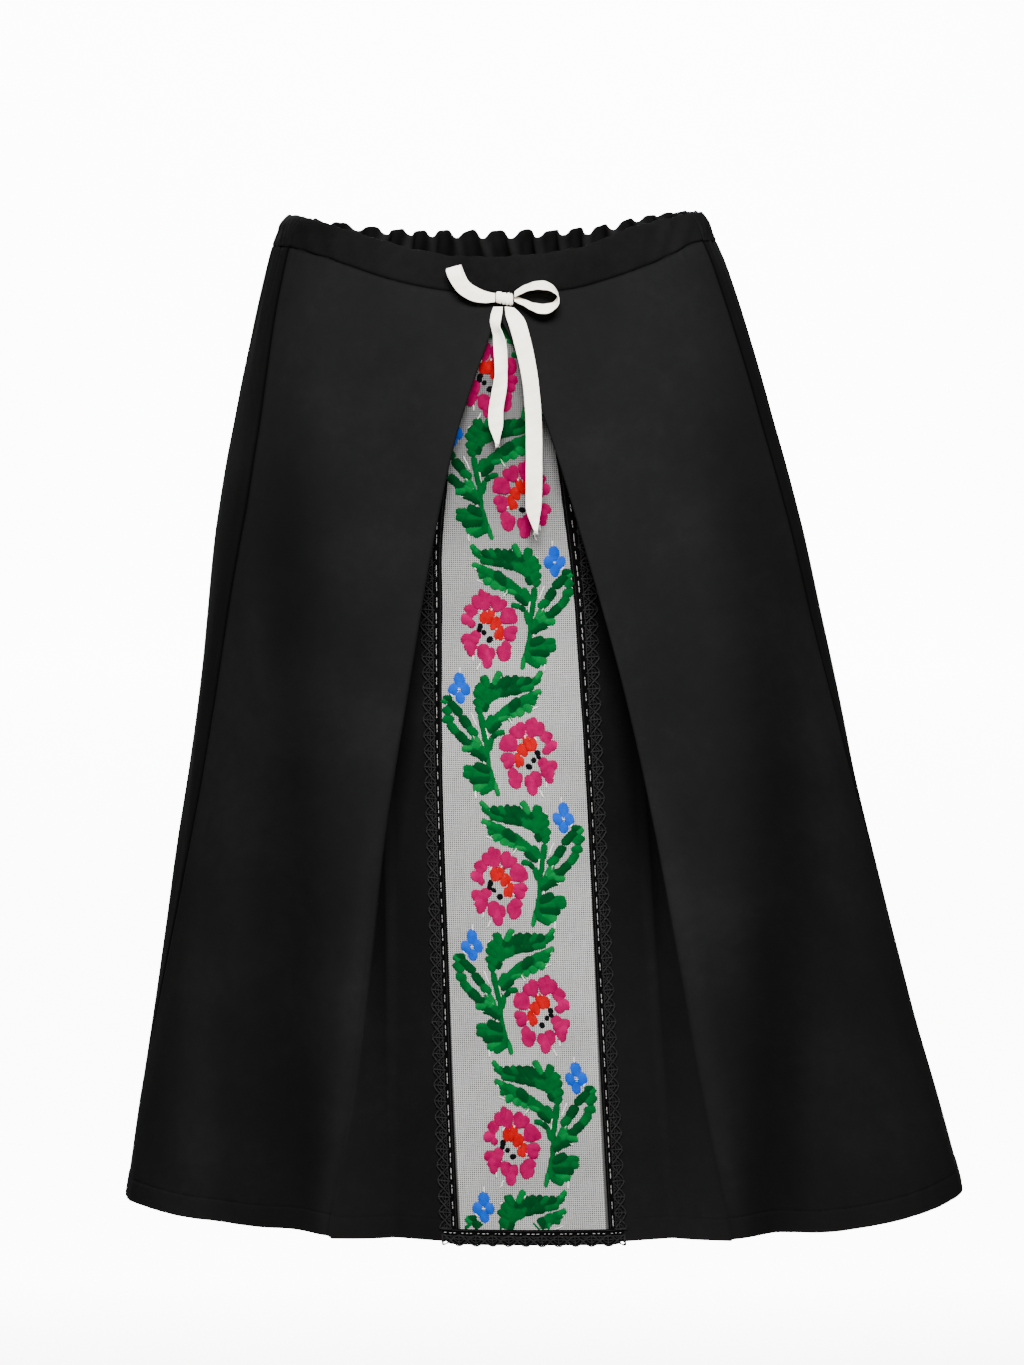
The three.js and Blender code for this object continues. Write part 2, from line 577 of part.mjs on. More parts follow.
function sideLace(name, side) {
  const path = (step, z) => frontPath(step, z, side);
  const count = Math.round((PLEAT_TOP - LACE_HEAD) / LACE_REPEAT) * 4;
  const rows = range(count).map((share, i) => {
    const z = LACE_HEAD + 0.5 + (PLEAT_TOP - 0.6 - LACE_HEAD) * (1 - share);
    const t = (z - PLEAT_TOP) / (STRIP_HEM - PLEAT_TOP);
    const width = scalloped(count - i, LACE_DIP, LACE_FULL);
    return {
      at: [0, 1],
      pairs: [width, 0.35].map((w) => lacePair(path, underStep(z, side, w), t, side)),
    };
  });
  return wallMesh(name, BLACK, rows, side > 0);
}

function bottomLace() {
  const z = LACE_HEAD;
  const t = (z - PLEAT_TOP) / (STRIP_HEM - PLEAT_TOP);
  const net = pleatAt(z, 1).net.x;
  const reach = net + LACE_FULL;
  const count = Math.round((2 * reach) / LACE_REPEAT) * 4;
  const place = (u, row) => {
    if (Math.abs(u) <= net) {
      return lacePair(stripPath, u / net, row, -1);
    }
    const side = Math.sign(u);
    const path = (step, height) => frontPath(step, height, side);
    return lacePair(path, underStep(z, side, Math.abs(u) - net), row, side);
  };
  const columns = range(count, -reach, reach);
  const head = columns.map((u) => place(u, t));
  const low = columns.map((u, i) => {
    const pair = place(u, 1);
    return pair.map((p) => p.setZ(STRIP_HEM - scalloped(i, FOOT_DIP, FOOT_TIP)));
  });
  const rows = [{ at: columns, pairs: head }, { at: columns, pairs: low }];
  return wallMesh('lace_bottom', BLACK, rows);
}

// Places around the back where one gather after another crosses a quarter of its wave
function gatherPlaces(perGather) {
  const total = GATHERS * perGather;
  return range(total).map((target, i) => {
    let low = 0;
    let high = 1;
    const wanted = (gatherPhase(1) - gatherPhase(0)) * (i / total) + gatherPhase(0);
    for (let n = 0; n < 40; n += 1) {
      const mid = (low + high) / 2;
      if (gatherPhase(mid) < wanted) {
        low = mid;
      } else {
        high = mid;
      }
    }
    return (low + high) / 2;
  });
}

function backPanel() {
  const fine = gatherPlaces(4);
  const coarse = range(44);
  const turnAt = (u, z) => {
    const from = seamTurn(z, 1) - 360;
    return from + (seamTurn(z, -1) - from) * u;
  };
  const path = (u, z) => backSkin(turnAt(u, z), z);
  const rows = ROWS.map((t) => {
    const at = t < 0.12 ? fine : coarse;
    return {
      at,
      pairs: at.map((u) => {
        const { top, hem } = clothEnds(turnAt(u, -36), turnAt(u, -728));
        const z = top + (hem - top) * t;
        const trim = u === 0 ? 0.2 : u === 1 ? -0.2 : 0;
        return faces(path, u, z, CLOTH, -1, trim);
      }),
    };
  });
  return wallMesh('back_panel', BLACK, rows);
}

function waistband(name, from, to, at, gathered) {
  const levels = [0, 0.33, 0.67, 1];
  const rows = levels.map((t) => ({
    at,
    pairs: at.map((u) => {
      const turn = from + (to - from) * u;
      const place = (turn + 360) % 360;
      const edge = (column) => read(WAIST, 'turn', place, column);
      const ruffle = gathered ? gatherRise(turn, 0, from, to) * (1 - t) : 0;
      const z = edge('top') + ruffle + (edge('bottom') - edge('top')) * t;
      const path = (step, height) => {
        const angle = from + (to - from) * step;
        return gathered ? backSkin(angle, height) : skin((angle + 360) % 360, height);
      };
      const trim = u === 0 ? 0.2 : u === 1 ? -0.2 : 0;
      const soft = t === 0 || t === 1 ? BAND - 0.8 : BAND;
      return faces(path, u, z, soft, -1, trim);
    }),
  }));
  return wallMesh(name, BLACK, rows);
}

// Ribbon run through a table of sections
function ribbon(name, table) {
  const centres = table.map((row) => new THREE.Vector3(row.x, row.y, row.z));
  const arrows = table.map((row) => new THREE.Vector3(row.ax, row.ay, row.az));
  const rows = table.map((row, i) => {
    const before = centres[Math.max(0, i - 1)];
    const after = centres[Math.min(centres.length - 1, i + 1)];
    const along = after.clone().sub(before).normalize();
    const normal = along.clone().cross(arrows[i]).normalize();
    return {
      at: [0, 1, 2],
      pairs: [-1, 0, 1].map((k) => {
        const p = centres[i].clone().addScaledVector(arrows[i], k);
        const half = k === 0 ? RIBBON / 2 : RIBBON / 2 + 0.05;
        return [
          p.clone().addScaledVector(normal, half),
          p.clone().addScaledVector(normal, -half),
        ];
      }),
    };
  });
  return wallMesh(name, CREAM, rows);
}

// Knot of the bow: rounded sections across, from its left end to its right end
const KNOT = [
  { x: 0.7, tall: 2.6, deep: 1.6 },
  { x: 1.3, tall: 4.2, deep: 2.8 },
  { x: 3.2, tall: 5.1, deep: 3.6 },
  { x: 7.2, tall: 5.0, deep: 3.4 },
  { x: 10.8, tall: 5.2, deep: 3.6 },
  { x: 12.6, tall: 4.4, deep: 2.9 },
  { x: 13.2, tall: 2.8, deep: 1.7 },
];

function knot() {
  const around = 12;
  const positions = [];
  const index = [];
  KNOT.forEach((row) => {
    for (let i = 0; i < around; i += 1) {
      const a = (2 * Math.PI * i) / around;
      const lean = 0.16 * (row.x - 7);
      positions.push(row.x, -103.8 + row.deep * Math.cos(a), -44.2 - lean + row.tall * Math.sin(a));
    }
  });
  for (let j = 0; j < KNOT.length - 1; j += 1) {
    for (let i = 0; i < around; i += 1) {
      const n = (i + 1) % around;
      const a = j * around;
      const b = a + around;
      index.push(a + i, a + n, b + n, a + i, b + n, b + i);
    }
  }
  const left = positions.length / 3;
  positions.push(KNOT[0].x - 0.2, -103.8, -43.2);
  const right = left + 1;
  positions.push(KNOT[KNOT.length - 1].x + 0.2, -103.8, -45.2);
  const lastRing = (KNOT.length - 1) * around;
  for (let i = 0; i < around; i += 1) {
    const n = (i + 1) % around;
    index.push(left, n, i);
    index.push(right, lastRing + i, lastRing + n);
  }
  const geometry = new THREE.BufferGeometry();
  geometry.setAttribute('position', new THREE.Float32BufferAttribute(positions, 3));
  geometry.setIndex(index);
  geometry.computeVertexNormals();
  const material = new THREE.MeshStandardMaterial({ color: CREAM, roughness: 0.6, metalness: 0 });
  const mesh = new THREE.Mesh(geometry, material);
  mesh.name = 'bow_knot';
  return mesh;
}

const skirt = new THREE.Group();
skirt.name = 'embroidered_skirt';
skirt.add(frontPanel('front_panel_left', -1));
skirt.add(frontPanel('front_panel_right', 1));
skirt.add(backPanel());
skirt.add(stripPanel());
skirt.add(sideLace('lace_left', -1));
skirt.add(sideLace('lace_right', 1));
skirt.add(bottomLace());
skirt.add(waistband('front_waistband', seamTurn(0, -1), seamTurn(0, 1), range(30), false));
skirt.add(waistband('back_waistband', seamTurn(0, 1) - 360, seamTurn(0, -1), gatherPlaces(4), true));
skirt.add(knot());
skirt.add(ribbon('bow_loop_left', BOW_LOOP_LEFT));
skirt.add(ribbon('bow_loop_right', BOW_LOOP_RIGHT));
skirt.add(ribbon('bow_tail_left', BOW_TAIL_LEFT));
skirt.add(ribbon('bow_tail_right', BOW_TAIL_RIGHT));

export default skirt;
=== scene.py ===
import math
import random

import bpy
import numpy as np
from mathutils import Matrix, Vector


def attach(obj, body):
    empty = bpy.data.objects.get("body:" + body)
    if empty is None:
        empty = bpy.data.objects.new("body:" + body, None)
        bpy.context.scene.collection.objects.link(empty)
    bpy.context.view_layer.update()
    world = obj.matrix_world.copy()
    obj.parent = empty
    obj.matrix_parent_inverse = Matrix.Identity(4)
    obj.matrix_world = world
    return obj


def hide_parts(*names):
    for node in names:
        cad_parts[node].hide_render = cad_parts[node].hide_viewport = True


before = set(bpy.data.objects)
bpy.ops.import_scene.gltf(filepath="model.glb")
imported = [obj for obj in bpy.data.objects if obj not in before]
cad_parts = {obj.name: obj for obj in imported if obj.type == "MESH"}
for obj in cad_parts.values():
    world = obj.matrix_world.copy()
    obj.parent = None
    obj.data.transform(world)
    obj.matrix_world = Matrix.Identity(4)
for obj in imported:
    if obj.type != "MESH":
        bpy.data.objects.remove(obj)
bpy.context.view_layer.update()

mm = 0.001
print("stage: tables")


# tables (mm), same as in the CAD part: outlines read off the photo through its camera, depths given
def table(names, rows):
    data = np.array(sorted(rows), float)
    return {name: data[:, i] for i, name in enumerate(names.split())}


def read(tab, key, place, column):  # smooth reading between rows
    xs, ys = tab[key], tab[column]
    place = np.clip(np.asarray(place, float), xs[0], xs[-1])
    i = np.clip(np.searchsorted(xs, place) - 1, 0, len(xs) - 2)
    slope = np.empty(len(xs))
    slope[1:-1] = (ys[2:] - ys[:-2]) / (xs[2:] - xs[:-2])
    slope[0] = (ys[1] - ys[0]) / (xs[1] - xs[0])
    slope[-1] = (ys[-1] - ys[-2]) / (xs[-1] - xs[-2])
    span = xs[i + 1] - xs[i]
    t = (place - xs[i]) / span
    return ((2 * t**3 - 3 * t**2 + 1) * ys[i] + (t**3 - 2 * t**2 + t) * span * slope[i]
            + (3 * t**2 - 2 * t**3) * ys[i + 1] + (t**3 - t**2) * span * slope[i + 1])


def smooth(t):
    t = np.clip(t, 0, 1)
    return t * t * (3 - 2 * t)


def hump(away, wide):
    return np.exp(-(away / wide) ** 2)


body = table("z mid half front back", [
    (16, 1.6, 149.6, 89.0, 91.0), (7, 0.2, 156.8, 91.5, 94.0), (-2, 0.0, 160.6, 93.5, 96.5),
    (-11, 0.3, 164.0, 95.0, 98.5), (-22, 1.2, 168.0, 96.5, 101.0), (-51, 2.7, 176.9, 99.5, 106.5),
    (-81, 4.1, 185.3, 103.0, 112.0), (-111, 5.3, 193.3, 106.5, 117.0), (-141, 6.5, 200.6, 109.8, 121.5),
    (-170, 7.8, 207.8, 112.8, 126.0), (-200, 9.4, 214.4, 115.5, 130.0), (-230, 10.9, 220.4, 118.0, 133.5),
    (-290, 13.9, 230.0, 122.5, 140.0), (-350, 17.2, 240.0, 127.0, 146.0),
    (-412, 20.2, 250.9, 131.5, 152.0), (-472, 22.9, 262.9, 136.0, 158.0),
    (-534, 25.8, 275.4, 140.5, 164.0), (-595, 29.2, 288.1, 145.0, 170.5),
    (-657, 33.3, 302.2, 149.0, 177.0), (-740, 39.0, 320.8, 154.0, 186.0)])
waist = table("turn top bottom", [
    (0, 14.0, -7.5), (22, 12.8, -11.0), (45, 7.0, -20.5), (60, -1.4, -30.0), (75, -5.2, -34.8),
    (90, -6.2, -36.6), (103, -5.8, -36.2), (117, -4.4, -34.2), (129, -1.2, -30.2), (140, 3.0, -25.0),
    (160, 9.4, -15.5), (180, 11.7, -11.0), (201.6, 11.8, -9.8), (213.3, 9.3, -12.9), (222, 6.4, -16.5),
    (230, 2.5, -21.6), (244.7, -6.5, -32.3), (256.7, -12.9, -38.6), (267.7, -14.6, -40.9),
    (277.2, -13.2, -40.6), (288.5, -9.7, -37.5), (297.1, -4.3, -31.7), (306.4, 4.2, -24.7),
    (317.2, 9.4, -16.8), (331, 13.0, -7.6), (341, 14.4, -5.6), (360, 14.0, -7.5)])
hem = table("turn z", [
    (0, -717.0), (45, -722.0), (90, -727.0), (135, -729.5), (180, -727.0), (200, -724.4), (225, -725.8),
    (250, -728.8), (262, -731.0), (280, -730.6), (300, -728.4), (320, -728.2), (340, -722.0),
    (360, -717.0)])
sideSeam = table("z left right", [
    (20, 21.6, 19.0), (-51, 22.5, 19.0), (-126, 25.5, 18.2), (-200, 25.8, 17.4), (-275, 22.4, 15.6),
    (-351, 19.4, 12.2), (-427, 16.4, 8.2), (-503, 13.4, 3.2), (-579, 8.6, -1.6), (-640, 2.0, -4.6),
    (-740, -5.0, -7.0)])
pleat = table("z mid left right roll deep net netDeep bow", [
    (-30, 1.0, 0.1, 1.9, 72.6, 3.4, 55.0, 5.1, 0.0), (-46, 1.2, 0.1, 2.1, 72.6, 3.4, 55.0, 5.1, 0.0),
    (-58, 1.7, -0.9, 4.4, 73.0, 4.0, 55.0, 5.8, 0.0), (-75, 2.5, -5.4, 12.4, 74.0, 5.8, 54.6, 7.6, 0.3),
    (-100, 3.8, -14.4, 24.4, 76.0, 9.5, 54.0, 10.5, 1.0),
    (-150, 6.2, -30.0, 43.0, 80.0, 18.5, 53.0, 16.5, 1.8),
    (-225, 8.8, -45.8, 65.5, 85.0, 30.0, 52.4, 22.5, 2.4),
    (-330, 12.0, -63.6, 94.6, 89.0, 36.0, 52.8, 25.5, 2.6),
    (-430, 15.3, -79.6, 116.6, 91.0, 34.0, 53.5, 23.5, 2.6),
    (-530, 19.4, -90.6, 135.0, 93.0, 24.0, 54.2, 16.5, 2.4),
    (-630, 23.4, -101.4, 151.6, 97.0, 12.5, 55.0, 8.0, 2.0),
    (-740, 28.8, -117.6, 172.6, 101.0, 2.5, 55.5, 2.5, 1.5)])
pleatRoll = table("z leftRound rightRound innerRound leftLift rightLift", [
    (-30, 0.85, 0.85, 1.7, 0.0, 0.0), (-58, 0.9, 0.9, 1.8, 0.4, 0.4), (-100, 1.4, 1.1, 2.4, 1.6, 1.4),
    (-150, 2.0, 1.3, 3.2, 2.8, 2.4), (-330, 3.4, 1.7, 5.5, 5.0, 4.6), (-530, 5.0, 2.4, 8.0, 7.0, 6.4),
    (-740, 7.0, 4.0, 10.0, 8.5, 8.0)])
# long folds of the front: x, start, width, rise
frontFolds = [
    (-240, -380, 19, 5.0), (-205, -300, 15, -3.5), (-147, -120, 17, -8.0), (204, -220, 17, -8.0),
    (243, -330, 16, 5.0), (285, -420, 16, -3.0)]
# long folds of the back: turn, width, start, rise
backFolds = [
    (26, 7.5, -330, 7.0), (41, 6.5, -240, -8.5), (56, 7.0, -170, 10.5), (71, 6.0, -150, -9.0),
    (86, 6.5, -130, 11.5), (101, 6.5, -150, -8.5), (117, 7.5, -170, 11.0), (133, 6.5, -200, -9.5),
    (150, 7.5, -280, 8.0)]
pleatTop, stripHem, laceHead = -41.4, -731.5, -722.4  # heights
bandLevel, hemLevel, panelLength = -36.0, -728.0, 690  # where the ends of a panel are read, and its length
hemDeep, stitchLine = 16.2, 15.9  # the doubled hem and its stitches, above the edge
gathers, gatherDepth = 27, 2.1


# the cloth's own form
def bulge(share, power):
    return np.power(np.clip(1 - np.power(np.clip(np.abs(share), 0, 1), power), 0, 1), 1 / power)


def frontY(x, z):
    share = (x - read(body, "z", z, "mid")) / read(body, "z", z, "half")
    return -read(body, "z", z, "front") * bulge(share, 2.12 + 0.2 * smooth(-z / 600))


def seamTurn(z, side):
    return 180 + read(sideSeam, "z", z, "left") if side < 0 else 360 - read(sideSeam, "z", z, "right")


def skin(turn, z):  # middle of the cloth, with its long folds
    turn = np.mod(turn, 360)
    mid, half, deep = (read(body, "z", z, c) for c in ("mid", "half", "back"))
    cos, sin = np.cos(np.radians(turn)), np.sin(np.radians(turn))
    x = mid + half * cos
    yFront = frontY(x, z)
    for at, start, wide, rise in frontFolds:
        yFront = yFront - rise * smooth((start - z) / (start + 700)) * hump(x - at, wide) * -sin
    yBack = deep * bulge(cos, 2.15)
    out = 0
    for at, wide, start, rise in backFolds:
        out = out + rise * smooth((start - z) / (start + 740)) * hump(turn - at, wide)
    out = out * smooth(sin / 0.3)
    length = np.hypot(cos / half, sin / deep)
    front = sin < 0
    outX, outY = out * cos / half / length, out * sin / deep / length
    return np.where(front, x, x + outX), np.where(front, yFront, yBack + outY)


def gatherPhase(u):
    return 2 * np.pi * (gathers * u + 0.42 * np.sin(11 * u + 1) + 0.13 * np.sin(31 * u))


def gatherRise(turn, start, end):
    u = (turn - start) / (end - start)
    ends = smooth(u / 0.05) * smooth((1 - u) / 0.05)
    return gatherDepth * (0.78 + 0.22 * np.sin(29 * u + 2)) * ends * np.sin(gatherPhase(u))


def backSkin(turn, z):  # back cloth, gathers fading below the band
    start, end = seamTurn(z, 1) - 360, seamTurn(z, -1)
    drop = read(waist, "turn", np.mod(turn, 360), "bottom") - z
    strength = np.where((z > -60) & (drop < 0), 1, hump(np.maximum(0, drop), 62))
    x, y = skin(turn, z)
    ax, ay = skin(turn - 0.3, z)
    bx, by = skin(turn + 0.3, z)
    nx, ny = by - ay, ax - bx
    size = np.hypot(nx, ny)
    rise = strength * gatherRise(turn, start, end)
    return x + nx / size * rise, y + ny / size * rise


def columns(tab, z):
    return {c: read(tab, "z", z, c) for c in tab if c != "z"}


def pleatAt(z, side):
    p, r = columns(pleat, z), columns(pleatRoll, z)
    edge = p["mid"] - p["left"] if side < 0 else p["right"] - p["mid"]
    er, lift = (r["leftRound"], r["leftLift"]) if side < 0 else (r["rightRound"], r["rightLift"])
    ir = r["innerRound"]
    c0x, c0y, c1x, c1y = edge + er, er - lift, p["roll"], p["deep"]
    lx, ly = c1x - c0x, c1y - c0y
    leg = np.arctan2(ly, lx) - np.arcsin((er + ir) / np.hypot(lx, ly))
    ux, uy = p["net"] - c1x, p["netDeep"] - c1y
    under = np.mod(np.arctan2(uy, ux), 2 * np.pi) + np.arcsin(ir / np.hypot(ux, uy))
    return dict(mid=p["mid"], lift=lift, er=er, ir=ir, c0=(c0x, c0y), c1=(c1x, c1y),
                net=(p["net"], p["netDeep"]), leg=leg, under=under, bow=p["bow"])


def frontTurn(step, z, side):
    k = pleatAt(z, side)
    share = (k["mid"] + side * k["c0"][0] - read(body, "z", z, "mid")) / read(body, "z", z, "half")
    ridge = 360 - np.degrees(np.arccos(share))
    start = seamTurn(z, side)
    return start + (ridge - start) * np.minimum(1, step + 0.12 * np.sin(np.pi * step) * step)


# step 0-1 runs to the fold edge, 1-2 round it, 2-3 down the leg, 3-4 round the inner fold, 4-5 to the strip
def frontPath(step, z, side):
    step, z = np.broadcast_arrays(np.asarray(step, float), np.asarray(z, float))
    k = pleatAt(z, side)
    ridge = k["mid"] + side * k["c0"][0]
    x, y = skin(frontTurn(np.minimum(step, 1), z, side), z)
    y = y - k["lift"] * hump(x - ridge, 26)
    (c0x, c0y), (c1x, c1y) = k["c0"], k["c1"]
    a = np.pi + (k["leg"] - np.pi) * (step - 1)
    b = k["leg"] + (k["under"] - k["leg"]) * (step - 3)
    s0x, s0y = c0x - np.sin(k["leg"]) * k["er"], c0y + np.cos(k["leg"]) * k["er"]
    s1x, s1y = c1x + np.sin(k["leg"]) * k["ir"], c1y - np.cos(k["leg"]) * k["ir"]
    s2x, s2y = c1x + np.sin(k["under"]) * k["ir"], c1y - np.cos(k["under"]) * k["ir"]
    t2, t4 = step - 2, step - 4
    parts = [step <= 2, step <= 3, step <= 4]
    u = np.select(parts, [c0x - np.sin(a) * k["er"], s0x + (s1x - s0x) * t2, c1x + np.sin(b) * k["ir"]],
                  s2x + (k["net"][0] - s2x) * t4)
    v = np.select(parts, [c0y + np.cos(a) * k["er"], s0y + (s1y - s0y) * t2, c1y - np.cos(b) * k["ir"]],
                  s2y + (k["net"][1] - s2y) * t4)
    px = k["mid"] + side * u
    return np.where(step <= 1, x, px), np.where(step <= 1, y, frontY(px, z) + v)


def stripPath(across, z):
    k = pleatAt(z, 1)
    x = k["mid"] + k["net"][0] * across
    return x, frontY(x, z) + k["net"][1] - k["bow"] * (1 - across * across)


def normalOf(path, step, z, sign):  # level normal, pointing out
    ax, ay = path(step - 0.004, z)
    bx, by = path(step + 0.004, z)
    tx, ty = bx - ax, by - ay
    size = np.hypot(tx, ty) + 1e-9
    return -ty / size * sign, tx / size * sign


def clothEnds(turnTop, turnHem):
    top = read(waist, "turn", np.mod(turnTop, 360), "bottom") - 0.4
    return top, read(hem, "turn", np.mod(turnHem, 360), "z")


def xyz(x, y, z):
    return np.stack(np.broadcast_arrays(x, y, z), -1)


# building helpers
def newMesh(name, verts, faces, material, uv=None, tone=None):
    mesh = bpy.data.meshes.new(name)
    mesh.from_pydata([tuple(v) for v in verts], [], faces)
    mesh.materials.append(material)
    mesh.polygons.foreach_set("use_smooth", [True] * len(mesh.polygons))
    if tone is not None:
        marks = mesh.attributes.new("tone", "FLOAT", "POINT").data
        marks.foreach_set("value", np.asarray(tone, np.float32).ravel())
    if uv is not None:
        layer = mesh.uv_layers.new(name="cloth")
        loops = np.empty(len(mesh.loops), int)
        mesh.loops.foreach_get("vertex_index", loops)
        layer.data.foreach_set("uv", np.asarray(uv, np.float32)[loops].ravel())
    mesh.update()
    obj = bpy.data.objects.new(name, mesh)
    bpy.context.scene.collection.objects.link(obj)
    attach(obj, "root")
    return obj


def gridFaces(rows, cols, base=0, flip=False):
    i = np.arange(rows - 1)[:, None] * cols + np.arange(cols - 1)[None, :] + base
    quads = np.stack([i, i + cols, i + cols + 1, i + 1], -1).reshape(-1, 4)
    return (quads[:, ::-1] if flip else quads).tolist()


# a closed thin wall from two grids
def shell(name, outer, inner, material, uv, flip=False, tone=None):
    rows, cols = outer.shape[:2]
    n = rows * cols
    faces = gridFaces(rows, cols, 0, flip) + gridFaces(rows, cols, n, not flip)
    ring = ([(0, c) for c in range(cols)] + [(r, cols - 1) for r in range(1, rows)]
            + [(rows - 1, c) for c in range(cols - 2, -1, -1)] + [(r, 0) for r in range(rows - 2, 0, -1)])
    ids = [r * cols + c for r, c in ring]
    for a, b in zip(ids, ids[1:] + ids[:1]):
        faces.append((a, b, b + n, a + n) if not flip else (a, a + n, b + n, b))
    verts = np.concatenate([outer.reshape(-1, 3), inner.reshape(-1, 3)]) * mm
    uvs = np.concatenate([uv.reshape(-1, 2), uv.reshape(-1, 2)])
    both = tone if isinstance(tone, tuple) else (tone, tone)
    tones = None if tone is None else np.concatenate([both[0].ravel(), both[1].ravel()])
    return newMesh(name, verts, faces, material, uvs, tones)


def strands(pts, up, ring, closed=False, grow=None):  # pts and up are (count, stations, 3) in mm
    pts, up = np.asarray(pts, float), np.asarray(up, float)
    n, k = pts.shape[:2]
    along = np.gradient(pts, axis=1)
    along /= np.linalg.norm(along, axis=2, keepdims=True) + 1e-9
    side = np.cross(along, up)
    side /= np.linalg.norm(side, axis=2, keepdims=True) + 1e-9
    lift = np.cross(side, along)
    ring = np.asarray(ring, float)
    m = len(ring)
    grow = np.ones((n, k)) if grow is None else np.broadcast_to(grow, (n, k))
    verts = (pts[:, :, None] + grow[:, :, None, None] * (side[:, :, None] * ring[None, None, :, :1]
             + lift[:, :, None] * ring[None, None, :, 1:]))
    base = (np.arange(n)[:, None, None] * k + np.arange(k - 1)[None, :, None]) * m
    j = np.arange(m if closed else m - 1)[None, None, :]
    a, b = base + j, base + (j + 1) % m
    faces = np.stack([a, b, b + m, a + m], -1).reshape(-1, 4).tolist()
    if closed:
        ends = np.arange(n)[:, None] * k * m
        faces += (ends + np.arange(m)[::-1]).tolist()
        faces += (ends + (k - 1) * m + np.arange(m)).tolist()
    return verts.reshape(-1, 3), faces


def disc(radius, sides=6, flat=1.0):
    return [(radius * math.cos(2 * math.pi * i / sides), radius * flat * math.sin(2 * math.pi * i / sides))
            for i in range(sides)]


class Heap:  # gathers threads into one mesh, with a material number for each
    def __init__(self):
        self.verts, self.faces, self.mats, self.count = [], [], [], 0

    def add(self, verts, faces, mat=0):
        shift = self.count
        self.verts.append(verts)
        self.faces += [[i + shift for i in f] for f in faces]
        self.mats += [mat] * len(faces)
        self.count += len(verts)

    def line(self, points, ups, ring, grow):  # one closed thread
        self.add(*strands(points[None], ups[None], ring, True, np.array(grow)))

    def build(self, name, materials, slotName):
        obj = newMesh(name, np.concatenate(self.verts) * mm, self.faces, materials[0])
        for extra in materials[1:]:
            obj.data.materials.append(extra)
        obj.data.polygons.foreach_set("material_index", self.mats)
        return obj


# materials
def srgb(*levels):
    return tuple(((c / 255 + 0.055) / 1.055) ** 2.4 if c > 10 else c / 255 / 12.92 for c in levels) + (1.0,)


